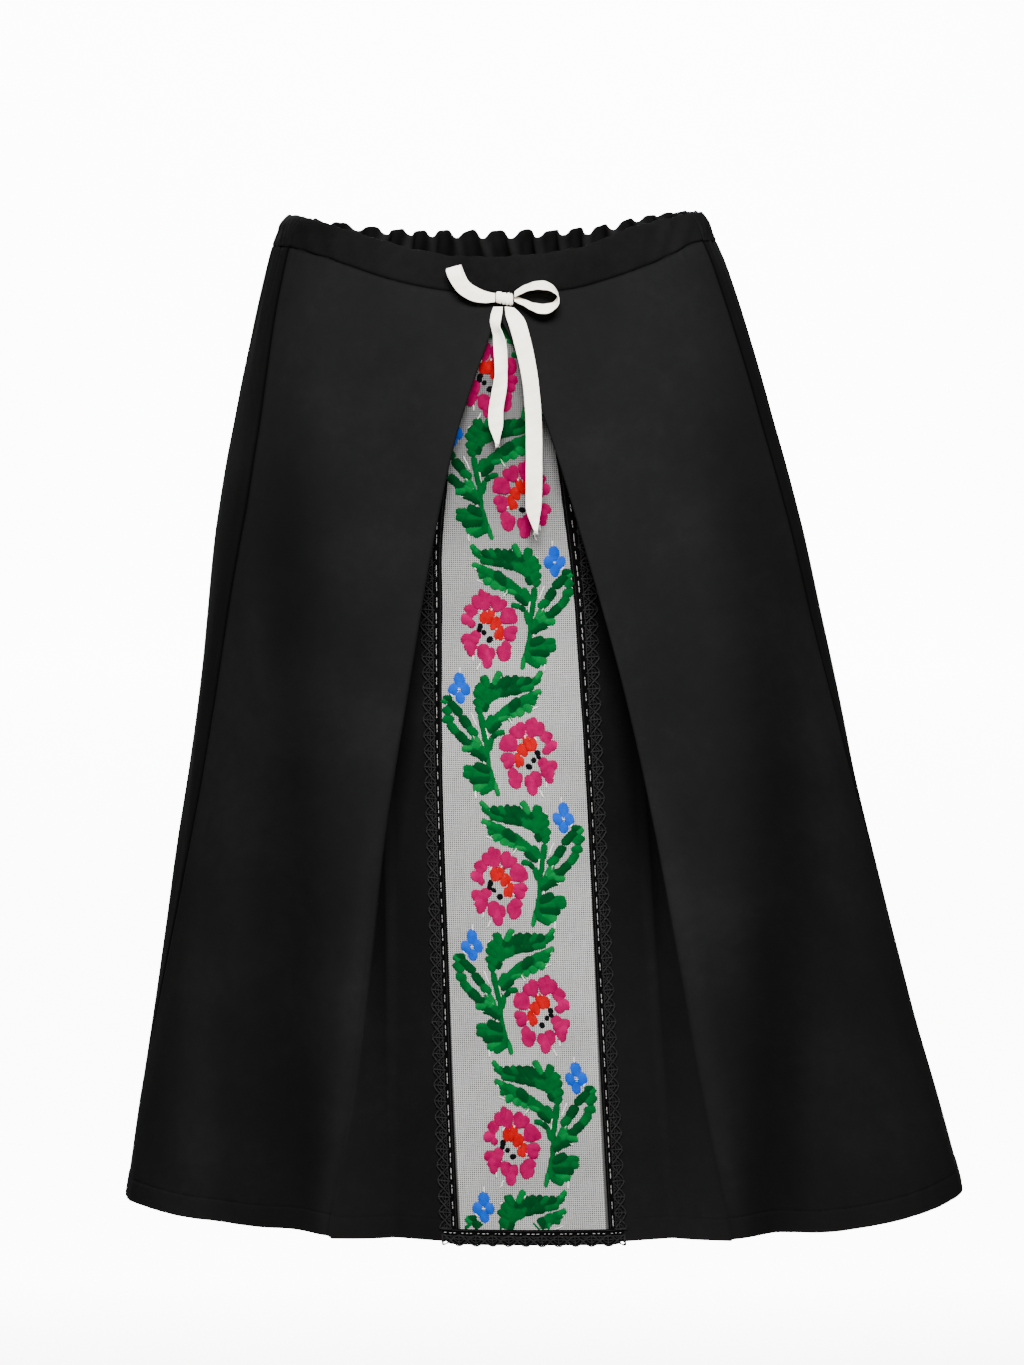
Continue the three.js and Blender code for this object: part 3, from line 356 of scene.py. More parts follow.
class Paint:  # one procedural material, with the shorthand that builds its nodes
    def __init__(self, name, rough=0.8, sheen=0.0, specular=0.4, soft=0.0):
        self.mat = bpy.data.materials.new(name)
        self.mat.use_nodes = True
        self.nodes, self.links = self.mat.node_tree.nodes, self.mat.node_tree.links
        self.bsdf = self.nodes["Principled BSDF"]
        self.bsdf.inputs["Roughness"].default_value = rough
        self.bsdf.inputs["Sheen Weight"].default_value = sheen
        self.bsdf.inputs["Specular IOR Level"].default_value = specular
        self.bsdf.inputs["Subsurface Weight"].default_value = soft
        coord = self.nodes.new("ShaderNodeTexCoord")
        self.place, self.uv = coord.outputs["Object"], coord.outputs["UV"]

    def noise(self, scale, detail=3.0, rough=0.55):
        node = self.nodes.new("ShaderNodeTexNoise")
        node.inputs["Scale"].default_value = scale
        node.inputs["Detail"].default_value = detail
        node.inputs["Roughness"].default_value = rough
        self.links.new(self.place, node.inputs["Vector"])
        return node.outputs["Fac"]

    def maths(self, kind, a, b):
        node = self.nodes.new("ShaderNodeMath")
        node.operation = kind
        for i, v in enumerate((a, b)):
            if isinstance(v, (int, float)):
                node.inputs[i].default_value = v
            else:
                self.links.new(v, node.inputs[i])
        return node.outputs[0]

    def blend(self, *parts):  # sum of noises, each with its weight first
        total = None
        for weight, *noise in parts[::-1]:
            one = self.maths("MULTIPLY", self.noise(*noise), weight)
            total = one if total is None else self.maths("ADD", one, total)
        return total

    def ramp(self, fac, stops):
        node = self.nodes.new("ShaderNodeValToRGB")
        first, last = node.color_ramp.elements
        first.position, first.color = stops[0]
        last.position, last.color = stops[-1]
        for place, colour in stops[1:-1]:
            node.color_ramp.elements.new(place).color = colour
        self.links.new(fac, node.inputs["Fac"])
        return node.outputs["Color"]

    def multiplied(self, colour, by):
        node = self.nodes.new("ShaderNodeMixRGB")
        node.blend_type = "MULTIPLY"
        node.inputs["Fac"].default_value = 1.0
        self.links.new(colour, node.inputs["Color1"])
        self.links.new(by, node.inputs["Color2"])
        return node.outputs["Color"]

    def along(self, axis):  # one coordinate of the place
        node = self.nodes.new("ShaderNodeSeparateXYZ")
        self.links.new(self.place, node.inputs["Vector"])
        return node.outputs[axis]

    def span(self, value, start, end, low=0.0, high=1.0):
        node = self.nodes.new("ShaderNodeMapRange")
        for socket, number in (("From Min", start), ("From Max", end), ("To Min", low), ("To Max", high)):
            node.inputs[socket].default_value = number
        self.links.new(value, node.inputs["Value"])
        return node.outputs["Result"]

    def weave(self, pitch, turn=0.0):  # one set of threads across the cloth, from its measured map
        spin = self.nodes.new("ShaderNodeMapping")
        spin.inputs["Rotation"].default_value = (0, 0, turn)
        self.links.new(self.uv, spin.inputs["Vector"])
        wave = self.nodes.new("ShaderNodeTexWave")
        wave.inputs["Scale"].default_value = 1 / (pitch * 20) * 2 * math.pi
        wave.inputs["Distortion"].default_value = 0.6
        wave.inputs["Detail"].default_value = 1.0
        wave.inputs["Detail Scale"].default_value = 0.6
        self.links.new(spin.outputs["Vector"], wave.inputs["Vector"])
        return wave.outputs["Fac"]

    def pleatShade(self, colour, depth):  # painted shade, darker towards the narrow head of the pleat
        dusk = [(0.0, 1.0), (0.28, 0.78), (0.42, 0.62), (0.52, 0.45), (0.68, 0.30), (0.97, 0.26)]
        greys = [(at, (1 - depth * (1 - tone),) * 3 + (1,)) for at, tone in dusk]
        return self.multiplied(colour, self.ramp(self.span(self.along("Z"), -0.35, -0.05), greys))

    def done(self, colour, height, strength, distance):  # links the colour and the bump
        self.links.new(colour, self.bsdf.inputs["Base Color"])
        node = self.nodes.new("ShaderNodeBump")
        node.inputs["Strength"].default_value = strength
        node.inputs["Distance"].default_value = distance
        self.links.new(height, node.inputs["Height"])
        self.links.new(node.outputs["Normal"], self.bsdf.inputs["Normal"])
        return self.mat


def crepe(name, dark, light, grain=0.12, shadePainted=True):  # matt black: uneven dye, crossed threads, fine twist
    p = Paint(name, rough=0.95, specular=0.02)
    dye = p.blend((0.7, 9.5, 4, 0.6), (0.2, 760, 3), (0.2, 130, 3, 0.6))
    lighter = [c + 3 for c in light]
    colour = p.ramp(dye, [(0.42, srgb(*dark)), (0.56, srgb(*light)), (0.68, srgb(*lighter))])
    if shadePainted:  # painted shade in troughs, seams and pleat, painted highlight on fold edges, read from the tone attribute
        paintedShade = p.nodes.new("ShaderNodeAttribute")
        paintedShade.attribute_name = "tone"
        colour = p.multiplied(colour, paintedShade.outputs["Color"])
    threads = p.maths("ADD", p.weave(0.00042), p.weave(0.00046, math.pi / 2))
    twist = p.maths("MULTIPLY", p.noise(520, 4, 0.65), 2.2)
    return p.done(colour, p.maths("ADD", threads, twist), grain, 0.0003)


clothMat = crepe("skirt_crepe", (14.5, 14.5, 14.5), (16.5, 16.5, 16.5))
bandMat = crepe("band_crepe", (9, 9, 9), (13, 13, 13), 0.16)
hemThreadMat = crepe("hem_thread", (9, 9, 9), (13, 13, 13), 0.05, False)


# front and back of the skirt
print("stage: skirt panels")


def drift(turn, z):  # slow unevenness of cloth that hangs freely
    grow = 0.25 + 0.75 * smooth((-z - 90) / 420)
    broad = np.sin(0.31 * turn + 0.9 + 0.8 * np.sin(z * 0.009)) * np.sin(0.0155 * z + 0.6 + 0.05 * turn)
    finer = 0.5 * np.sin(0.19 * turn - 0.021 * z + 2.1) + 0.28 * np.sin(0.47 * turn + 0.034 * z)
    return grow * (0.75 * broad + finer)


def seamRows(count):  # rows of a panel, close together at the waist seam and at the hem
    fromTop = [0, 0.6, 1.4, 2.6, 4.2, 6.4, 9.2, 12.6, 16.5, 21.0]
    fromHem = [24.0, 20.5, 18.6, 17.4, 16.7, 16.2, 15.8, 15.4, 15.0, 14.2, 12.8, 10.5, 7.6, 4.6, 2.2, 0.8, 0]
    top, end = np.array(fromTop) / panelLength, 1 - np.array(fromHem) / panelLength
    return np.concatenate([top, np.linspace(top[-1], end[0], count)[1:-1], end[1:]])


def hemShape(away, turn):  # turned-up hem: a doubled edge, its stitch line drawn in, a little rippled
    doubled = 0.34 * smooth((hemDeep - away) / 1.6)
    drawn = -0.30 * hump(away - stitchLine, 0.75) * (0.72 + 0.28 * np.sin(turn * 8.55))
    wave = np.sin(turn * 1.35 + 1.2 * np.sin(turn * 0.37)) * (0.6 + 0.4 * np.sin(turn * 0.21))
    return doubled + drawn + 0.30 * smooth((26 - away) / 12) * wave


def waistPucker(down, turn):
    wave = np.sin(turn * 2.3 + 1.4 * np.sin(turn * 0.53)) * (0.55 + 0.45 * np.sin(turn * 0.31 + 1))
    return 0.32 * np.exp(-down / 9.0) * wave - 0.55 * hump(down, 1.5)


def measured(grid):  # cloth map in metres, along the rows and down the columns
    lengths = []
    for axis in (1, 0):
        step = np.linalg.norm(np.diff(grid, axis=axis), axis=2)
        lengths.append(np.cumsum(np.concatenate([0 * step.take([0], axis), step], axis), axis))
    return np.stack(lengths, -1) * mm


def areaOf(grid):
    a, b, c, d = grid[:-1, :-1], grid[:-1, 1:], grid[1:, 1:], grid[1:, :-1]
    one = np.linalg.norm(np.cross(b - a, c - a), axis=2) + np.linalg.norm(np.cross(c - a, d - a), axis=2)
    return float(one.sum() / 2) * mm * mm


def tell(name, grid):  # area in m2, then the length of its top and of its hem in m
    top, hemLong = measured(grid)[[0, -1], -1, 0]
    print(" ", name, "area", round(areaOf(grid), 4), "top", round(top, 3), "hem", round(hemLong, 3))


# painted shade along each long trough on the front, by height: across, width, depth of the painted shade
troughShade = [table("z x wide deep", rows) for rows in (
    [(-60, -140, 22, 0.0), (-130, -150, 24, 0.2), (-190, -152, 28, 0.38), (-330, -151, 34, 0.48),
     (-480, -151, 38, 0.5), (-600, -153, 36, 0.46), (-735, -160, 31, 0.36)],
    [(-90, 165, 26, 0.0), (-170, 180, 28, 0.24), (-260, 196, 31, 0.40), (-380, 207, 34, 0.50),
     (-480, 214, 36, 0.54), (-600, 211, 36, 0.54), (-735, 206, 33, 0.42)],
    [(-50, -60, 30, 0.0), (-110, -78, 34, 0.14), (-190, -66, 40, 0.10), (-300, -60, 40, 0.0),
     (-735, -60, 40, 0.0)])]


def paintedShadeAt(x, z):
    # painted shade: darker towards the hem, darker along each trough, with a slight wavy unevenness
    tone = 1.06 - 0.10 * smooth((-z - 250) / 450) + 0 * x
    for line in troughShade:
        at, wide, deep = (read(line, "z", z, c) for c in ("x", "wide", "deep"))
        tone = tone * (1 - deep * hump(x - at, wide))
    return tone * (1 + 0.05 * np.sin(x * 0.043 + z * 0.013 + 1) * np.sin(z * 0.021 - x * 0.011))


frontLook = dict(
    wall=1.15, rows=168, seamDip=0.85, seamWide=1.9, tuck=0.7,
    # painted shade and light along the steps inside the pleat, in its upper part and near the hem
    steps=[2.0, 2.5, 3.0, 3.5, 4.0, 4.5, 5.0],
    left=[[1.1, 1.0, 0.85, 0.72, 0.72, 0.76, 0.8], [0.95, 0.88, 0.74, 0.66, 0.66, 0.68, 0.7]],
    right=[[0.9, 0.84, 0.66, 0.52, 0.5, 0.56, 0.62], [1.0, 1.0, 0.94, 0.88, 0.88, 0.92, 0.95]])


def frontGrid(side, look):
    steps = np.concatenate([
        [0, 0.006, 0.012, 0.02, 0.03, 0.045], np.linspace(0.062, 0.93, 58), np.linspace(0.945, 1, 6),
        np.linspace(1, 2, 13)[1:], np.linspace(2, 3, 11)[1:], np.linspace(3, 4, 13)[1:],
        np.linspace(4, 5, 11)[1:]])
    at = np.minimum(steps, 1)
    top, low = clothEnds(frontTurn(at, bandLevel, side), frontTurn(at, hemLevel, side))
    top = top + look["tuck"]
    inside = smooth((steps - 1) / 2)
    top, low = top + (pleatTop - top) * inside, low + (stripHem - low) * inside
    z = top + (low - top) * seamRows(look["rows"])[:, None]
    step = np.broadcast_to(steps, z.shape)
    path = lambda s, h: frontPath(s, h, side)
    x, y = path(step, z)
    nx, ny = normalOf(path, np.clip(step, 0.004, 4.996), z, side)
    turn = frontTurn(np.minimum(step, 1), z, side)
    laid = smooth((2.2 - step) / 1.2)  # the layers inside the pleat lie quiet
    fromSeam = np.abs(turn - seamTurn(z, side)) / 57.3 * read(body, "z", z, "half") * 0.62
    away, down = z - low, top - z
    out = drift(turn, z) * smooth(fromSeam / 22) * laid * smooth(down / 60)
    out = out + hemShape(away, turn) * (0.35 + 0.65 * laid) + waistPucker(down, turn) * laid
    out = out - look["seamDip"] * hump(fromSeam, look["seamWide"]) * (step < 1)
    out = out + 0.22 * hump(fromSeam - 4.5, 2.2) * (step < 1)
    # cloth drawn towards the knot of the bow
    knotAway = np.hypot(x - 6, z + 44)
    angle = np.arctan2(x - 6, -(z + 44))
    out = out + 0.55 * np.exp(-knotAway / 26) * np.sin(angle * 9 + side) * (knotAway > 3) * laid
    half = look["wall"] / 2
    trim = np.where(step >= 5, -0.2, 0) * side  # the inner edge stops just short of the strip
    base, normal = xyz(x + ny * trim, y - nx * trim, z), xyz(nx, ny, 0)
    outer = base + normal * (out + half + 0.12 * smooth((hemDeep - away) / 1.6))[..., None]
    inner = base + normal * (out - half)[..., None]
    # painted shade inside the pleat and along the troughs
    upper, lower = (np.interp(step, look["steps"], tones) for tones in look["left" if side < 0 else "right"])
    below = smooth((-z - 420) / 200)
    tone = paintedShadeAt(x, z) * laid + (upper * (1 - below) + lower * below) * (1 - laid)
    k = pleatAt(z, side)
    fromFold = np.abs(x - k["mid"] - side * k["c0"][0])
    # painted highlight beside the fold edge low down; painted shade in the side seam, along the hem stitch
    # line and under the waistband
    edge = 0.2 * hump(fromFold - 6, 8) * smooth((-z - 330) / 200) * (step <= 1)
    tone = tone * (1 + edge) * (1 - 0.85 * hump(fromSeam, 1.5) * (step < 1))
    tone = tone * (1 - 0.12 * hump(away - stitchLine, 0.9))
    return outer, inner, base, tone * (1 - 0.6 * hump(down, 1.3))


def frontPanel(name, side, look):
    outer, inner, base, tone = frontGrid(side, look)
    obj = shell(name, outer, inner, clothMat, measured(base), side > 0, tone)
    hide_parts(name)
    tell(name, base)
    return obj


frontLeft = frontPanel("front_panel_left", -1, frontLook)
frontRight = frontPanel("front_panel_right", 1, frontLook)

backLook = dict(wall=1.15, rows=116, cols=290, seamDip=0.85, seamWide=1.9,
                tuck=0.7)


def backPanel(name, look):
    u = np.concatenate([[0, 0.0025, 0.005, 0.009], np.linspace(0.014, 0.986, look["cols"]),
                        [0.991, 0.995, 0.9975, 1]])

    def turnAt(share, z):
        start = seamTurn(z, 1) - 360
        return start + (seamTurn(z, -1) - start) * share

    top, low = clothEnds(turnAt(u, bandLevel), turnAt(u, hemLevel))
    top = top + look["tuck"]
    z = top + (low - top) * seamRows(look["rows"])[:, None]
    share = np.broadcast_to(u, z.shape)
    path = lambda s, h: backSkin(turnAt(s, h), h)
    x, y = path(share, z)
    nx, ny = normalOf(path, share, z, -1)
    turn = turnAt(share, z)
    fromSeam = np.minimum(share, 1 - share) * 3.3 * read(body, "z", z, "half")
    away, down = z - low, top - z
    out = 1.3 * drift(turn, z) * smooth(fromSeam / 30) * smooth(down / 60)
    out = out + hemShape(away, turn) + waistPucker(down, turn * 1.4)
    out = out - look["seamDip"] * hump(fromSeam, look["seamWide"])
    base, normal = xyz(x, y, z), xyz(nx, ny, 0)
    half = look["wall"] / 2
    # painted shade: darker towards the hem, along the hem stitch line, in the side seams and over the strips
    # beside them
    tone = (0.98 - 0.10 * smooth((-z - 250) / 450)) * (1 - 0.2 * hump(away - stitchLine, 1.2))
    tone = tone * (1 - 0.8 * hump(fromSeam, 2.2)) * (0.62 + 0.38 * smooth((fromSeam - 4) / 40))
    outer, inner = base + normal * (out + half)[..., None], base + normal * (out - half)[..., None]
    obj = shell(name, outer, inner, clothMat, measured(base), False, tone)
    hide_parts(name)
    tell(name, base)
    return obj


backCloth = backPanel("back_panel", backLook)


# waistband
print("stage: waistband")
frontBandLook = dict(wall=2.4, cols=200, ripples=[  # height, place, width, fineness and slope of each set
    (0.5, -135, 26, 0.36, 0.1), (0.55, 128, 20, 0.42, -0.16), (0.4, 8, 20, 0.5, 0.12)])
backBandLook = dict(wall=2.4, cols=460, deeper=2.4, crestAt=[0, 0.22, 0.31, 0.42, 0.5, 0.6, 0.69, 0.78, 1],
                    crestTall=[2, 2.4, 3.8, 2.4, 3.4, 2.2, 3.6, 2.4, 2])


def gatheredBand(look, share, lv, phase, facing, lost):  # elastic runs inside the casing
    calm = smooth((share - 0.04) / 0.12) * smooth((0.96 - share) / 0.12)
    wave, second = np.sin(phase), np.sin(2 * phase + 0.8)  # large folds and smaller ones beside them
    crush = np.sin(lv * 3 * np.pi + 5 * np.sin(share * 61)) * np.sin(share * 173 + 2 * np.sin(share * 47))
    out = 0.45 * crush * smooth(lv / 0.12) * smooth((1 - lv) / 0.1)
    held = 1 - smooth((lv - 0.6) / 0.34)  # the lower edge is sewn flat to the panel
    full = calm * (0.3 + 0.7 * facing ** 1.5) * held
    large = np.sign(wave) * np.abs(wave) ** 0.85 * (0.8 + 0.3 * np.sin(31 * share + 1))
    out = out + full * (look["deeper"] * large + 0.75 * second) - (1 - calm) * lost * 0.8
    hollow = np.clip(0.5 + (0.38 * wave + 0.2 * second) * calm, 0, 1)  # painted shade in the hollows and painted highlight on the crests of both faces, the inner face darker lower down
    tone = (0.5 + 0.75 * hollow, 1.75 - 1.35 * hollow - 0.25 * smooth((lv - 0.2) / 0.5))
    return out, -0.35 * hump(lv - 0.86, 0.025), tone


def plainBand(look, x, z, share, lv):  # small ripples near both ends, pulled a little at the bow
    out = 0.16 * np.sin(x * 0.23 + 1.5 * np.sin(x * 0.06)) * np.sin(lv * 3.1)
    for tall, at, wide, fine, slope in look["ripples"]:
        out = out + tall * hump(x - at, wide) * np.sin(x * fine + z * slope)
    nearEnd = np.minimum(share, 1 - share)
    # painted shade along the seam at the lower edge and at both ends of the band
    tone = (0.9 - 0.5 * hump(lv - 1, 0.035)) * (1 - 0.5 * hump(nearEnd, 0.006))
    return out * smooth(nearEnd / 0.03), -0.5 * hump(lv - 0.995, 0.03), tone


def waistBand(name, look, start, end, gathered):
    u = np.linspace(0, 1, look["cols"])
    level = np.array([0, 0.02, 0.05, 0.1, 0.17, 0.25, 0.34, 0.43, 0.52, 0.61, 0.7, 0.78, 0.85, 0.9, 0.94,
                      0.97, 0.99, 1])[:, None]
    turn = start + (end - start) * u
    place = np.mod(turn, 360)
    top, low = read(waist, "turn", place, "top"), read(waist, "turn", place, "bottom")
    facing = np.clip(np.sin(np.radians(turn)), 0, 1)  # 1 at the middle of the back, 0 at the sides
    phase = gatherPhase(u) + 0.8 * np.sin(2.6 * level + 23 * u)  # the folds lean this way and that
    soft = 0.35 * np.sin(place * 0.55 + 0.6) + 0.25 * np.sin(place * 1.3 + 2)
    z = top + (low - top) * level + soft * (1 - level) * smooth(np.minimum(u, 1 - u) / 0.05)
    if gathered:  # broad crests with narrow notches between
        crest = 1 - 2 * ((1 - np.sin(phase[:1])) / 2) ** 1.3 + 0.2 * np.sin(2 * phase[:1] + 0.8)
        quiet = smooth((u - 0.04) / 0.12) * smooth((0.96 - u) / 0.12)
        tall = np.interp(u, look["crestAt"], look["crestTall"])
        z = z + crest * tall * facing ** 1.7 * quiet * (1 - level)
    share, lv = np.broadcast_to(u, z.shape), np.broadcast_to(level, z.shape)
    under = backSkin if gathered else skin
    path = lambda s, h: under(start + (end - start) * s, h)
    x, y = path(share, z)
    nx, ny = normalOf(path, share, z, -1)
    rounded = np.sqrt(np.clip(1 - np.clip((0.09 - lv) / 0.09, 0, 1) ** 2.2, 0.12, 1))  # folded upper edge
    thick = look["wall"] / 2 * rounded * (1 - 0.25 * smooth((lv - 0.9) / 0.1))
    if gathered:
        out, seam, tone = gatheredBand(look, share, lv, phase, facing, gatherRise(turn, start, end)[None, :])
    else:
        out, seam, tone = plainBand(look, x, z, share, lv)
    ends = -0.6 * hump(np.minimum(share, 1 - share), 0.004)
    trim = np.where(share <= 0, 0.2, np.where(share >= 1, -0.2, 0))
    base, normal = xyz(x - ny * trim, y + nx * trim, z), xyz(nx, ny, 0)
    outer = base + normal * (out + thick + seam + ends)[..., None]
    inner = base + normal * (out - thick)[..., None]
    obj = shell(name, outer, inner, bandMat, measured(base), False, tone)
    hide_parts(name)
    tell(name, base)
    return obj


turnLeft, turnRight = float(seamTurn(0.0, -1)), float(seamTurn(0.0, 1))
frontBand = waistBand("front_waistband", frontBandLook, turnLeft, turnRight, False)
backBand = waistBand("back_waistband", backBandLook, turnRight - 360, turnLeft, True)


# hem stitches
print("stage: hem stitches")
hemLook = dict(count=74, length=2.5, across=330, radius=0.17, out=0.5)


def hemStitches(look):
    paths, ups = [], []
    for side in (-1, 1):
        path = lambda s, h: frontPath(s, h, side)
        for a in np.linspace(0.01, 1.0, look["count"]):
            k = np.clip(a + np.linspace(-0.5, 0.5, 4) * look["length"] / look["across"], 0.004, 1.02)
            at = np.minimum(k, 1)
            z = clothEnds(frontTurn(at, bandLevel, side), frontTurn(at, hemLevel, side))[1] + stitchLine
            x, y = path(k, z)
            nx, ny = normalOf(path, k, z, side)
            turn = frontTurn(at, z, side)
            out = drift(turn, z) * smooth(np.abs(turn - seamTurn(z, side)) / 5) + look["out"]
            paths.append(xyz(x + nx * out, y + ny * out, z))
            ups.append(xyz(nx, ny, 0))
    return strands(paths, ups, disc(look["radius"], 5, 0.7), True, np.array([0.5, 1, 1, 0.5]))


hemHeap = Heap()
hemHeap.add(*hemStitches(hemLook))
hemThreads = hemHeap.build("hem_stitches", [hemThreadMat], "cloth")


# strip: grey net ground inside the pleat
print("stage: embroidered strip")


def netMaterial(name, low, high):
    p = Paint(name, sheen=0.15, specular=0.25)
    colour = p.ramp(p.blend((0.7, 14, 4), (0.3, 420, 2)), [(0.36, srgb(*low)), (0.64, srgb(*high))])
    return p.done(p.pleatShade(colour, 1.0), p.noise(1400, 2), 0.12, 0.0002)


groundMat = netMaterial("net_ground", (46, 45, 44), (58, 57, 56))
netMat = netMaterial("net_thread", (134, 133, 132), (155, 154, 153))
stripLook = dict(wall=1.1, rows=236, cols=61, warp=70, weft=462, thread=0.66, allowance=3.0,
                 behind=1.35)
# how far the head of each side lace lies in over the net
pulledIn = table("z left right", [
    (-120, 14.0, 17.0), (-150, 12.2, 14.4), (-177, 9.7, 11.4), (-203, 6.4, 9.0), (-230, 3.8, 6.4),
    (-265, 3.0, 3.8), (-320, 1.4, 2.2), (-374, 0.3, 0.7), (-430, 0, 0), (-490, 0, -0.3), (-740, 0, -0.6)])


def stripPoint(a, z, out):  # a is mm across from the middle of the strip, out is mm before its surface
    a, z = np.broadcast_arrays(np.asarray(a, float), np.asarray(z, float))
    share = a / read(pleat, "z", z, "net")
    x, y = stripPath(share, z)
    nx, ny = normalOf(stripPath, share, z, -1)
    ripple = np.sin(0.11 * z + 0.09 * a + 0.7) * np.sin(0.085 * a - 0.045 * z)
    lift = out + 0.30 * ripple * smooth((54 - np.abs(a)) / 12)
    return xyz(x + nx * lift, y + ny * lift, z), xyz(nx, ny, 0)


def embroideryGround(look):
    share = np.linspace(-1, 1, look["cols"])
    z = np.linspace(pleatTop, stripHem, look["rows"])[:, None]
    net = read(pleat, "z", z, "net")
    a = share * (net + look["allowance"])
    half = look["wall"] / 2
    turned = -look["behind"] * smooth((np.abs(a) - net + 1.0) / 1.6)
    outer, _ = stripPoint(a, z, half + turned)
    inner, _ = stripPoint(a, z, turned - half)
    obj = shell("embroidered_strip", outer, inner, groundMat, measured(outer))
    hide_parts("embroidered_strip")
    tell("embroidered_strip", outer)
    heap = Heap()
    ring = [(-look["thread"] / 2, 0), (0, 0.13), (look["thread"] / 2, 0)]
    warp = np.linspace(-52.2, 52.2, look["warp"])[:, None]
    down = np.linspace(pleatTop - 1, stripHem + 1, 160)[None, :]
    wander = 0.05 * np.sin(down * 0.13 + warp * 3.1) + 0.04 * np.sin(down * 0.41 + warp * 7.7)
    heap.add(*strands(*stripPoint(warp + wander, down, half + 0.03), ring))
    weft = np.linspace(pleatTop - 1, stripHem + 1, look["weft"])[:, None]
    across = np.linspace(-53.2, 53.2, 15)[None, :]
    sag = 0.05 * np.sin(across * 0.17 + weft * 2.3)
    heap.add(*strands(*stripPoint(across, weft + sag, half + 0.08), ring))
    return obj, heap.build("net_threads", [netMat], "net")


strip, netThreads = embroideryGround(stripLook)


# embroidery: floss stitch by stitch, block by block
print("stage: embroidery")


def floss(name, tone):  # matt stranded cotton
    p = Paint(name, rough=0.6, specular=0.0)
    low, high = [c * 0.86 for c in tone], [min(255, c * 1.06 + 3) for c in tone]
    colour = p.ramp(p.blend((0.6, 160, 3), (0.4, 2600, 2)), [(0.33, srgb(*low)), (0.66, srgb(*high))])
    return p.done(p.pleatShade(colour, 0.5), p.noise(3200, 2), 0.2, 0.0002)


# charts of one repeat, read off an enlarged crop: a unit is a pixel of the photo
# each block counts from the middle of the large flower: start, end, half width, tone
# the stem, then the upper, middle, left and lower leaves
leafChart = [
    (-47, 43, -45, 27, 3.4, 1), (-45, 31, -42, 13, 3.3, 1), (-42, 17, -41, -1, 2.6, 1),
    (-41, 2, -40, -13, 2.4, 1), (-40, -9, -36, -28, 2.8, 1), (-35, -25, -31.5, -39, 2.4, 2),
    (-46, 44, -51, 51, 4.2, 1), (-44, 46, -40, 54, 4, 0), (-44, 50, -52.5, 58, 5, 1),
    (-42, 54, -36, 61, 4.6, 1), (-43, 58, -52.5, 67, 5.2, 1), (-41, 63, -49.5, 73, 5.2, 1),
    (-39, 69, -43, 82, 5, 1), (-41, 57, -38, 69, 5.5, 1), (-33, 73, -26, 86, 3.7, 2),
    (-38, 67, -31, 74, 4.2, 0), (-31, 66, -21, 80, 5.2, 0), (-24, 67, -15, 80.5, 5.4, 0),
    (-17, 69, -7, 80.5, 5.2, 0), (-9, 71, -1, 80, 4.8, 1), (-3, 72, 6, 79.5, 4.8, 0),
    (3, 72, 15, 80, 4.6, 1), (10, 77, 17, 85.5, 2.9, 2), (-39, 60, -26, 65, 5.4, 1),
    (-29, 64, -15, 66.5, 5, 0), (-17, 66, -4, 68.5, 4.6, 0), (-6, 68, 8, 71, 4, 1),
    (-36, 64, -16, 71, 4.6, 1), (-16, 71, 5, 74, 4.4, 0), (-41, 28, -34, 41, 5.2, 1),
    (-35, 33, -23, 45, 5.6, 1), (-27, 40, -15, 51, 5.8, 1), (-18, 46, -6, 57, 6, 0),
    (-10, 51, 4, 60.5, 6, 1), (0, 57, 11, 63, 5, 1), (5, 61, 16, 66.5, 3.2, 2),
    (-16, 46, -11, 40.5, 4.6, 2), (-10, 49, -4, 42, 4.8, 2), (-3, 52, 5, 47, 4.2, 2),
    (3, 56, 10, 54, 3.6, 1), (-40, 26, -27, 35, 4.2, 0), (-29, 37.5, -19, 40.5, 3, 2),
    (-20, 41, -16, 36, 2, 2), (-36, 19, -31, 24.5, 2.9, 0), (-32, 24, -23, 25.5, 2.9, 1),
    (-37, 20, -40, 6, 3.4, 1), (-87, 58, -81, 54, 3.6, 2), (-85, 58, -75.5, 58, 3.2, 0),
    (-80, 55, -66.5, 42, 4.8, 0), (-67, 41, -58.5, 29, 4.9, 0), (-60, 30, -51, 22, 4.4, 1),
    (-55, 21, -48, 9, 4.2, 2), (-50, 11, -42, -1, 4.2, 1), (-87, 51, -78.5, 43, 4.7, 1),
    (-86, 38.5, -75, 35, 4.9, 1), (-80, 33, -71.5, 22, 4.8, 1), (-73, 24, -63, 16, 4.9, 0),
    (-67, 15.5, -56, 13, 4.6, 0), (-58, 13, -48, 8.5, 4.1, 2), (-67, 8, -56, 9, 3.6, 2),
    (-60, 6.5, -48, 2, 4.7, 0), (-51, 4, -42, -3, 4.3, 0), (-40, -15, -55, -8, 5.4, 0),
    (-43, -14, -67, -11.5, 4.4, 1), (-40, -19, -67, -17, 5.2, 1), (-39, -23, -61, -23, 5.4, 0),
    (-38, -26, -57, -32, 5.2, 2), (-38, -29, -50, -36, 4.4, 1), (-37, -22, -39, -32, 4.6, 1),
    (-54, -15, -60, -21, 4.6, 0)]
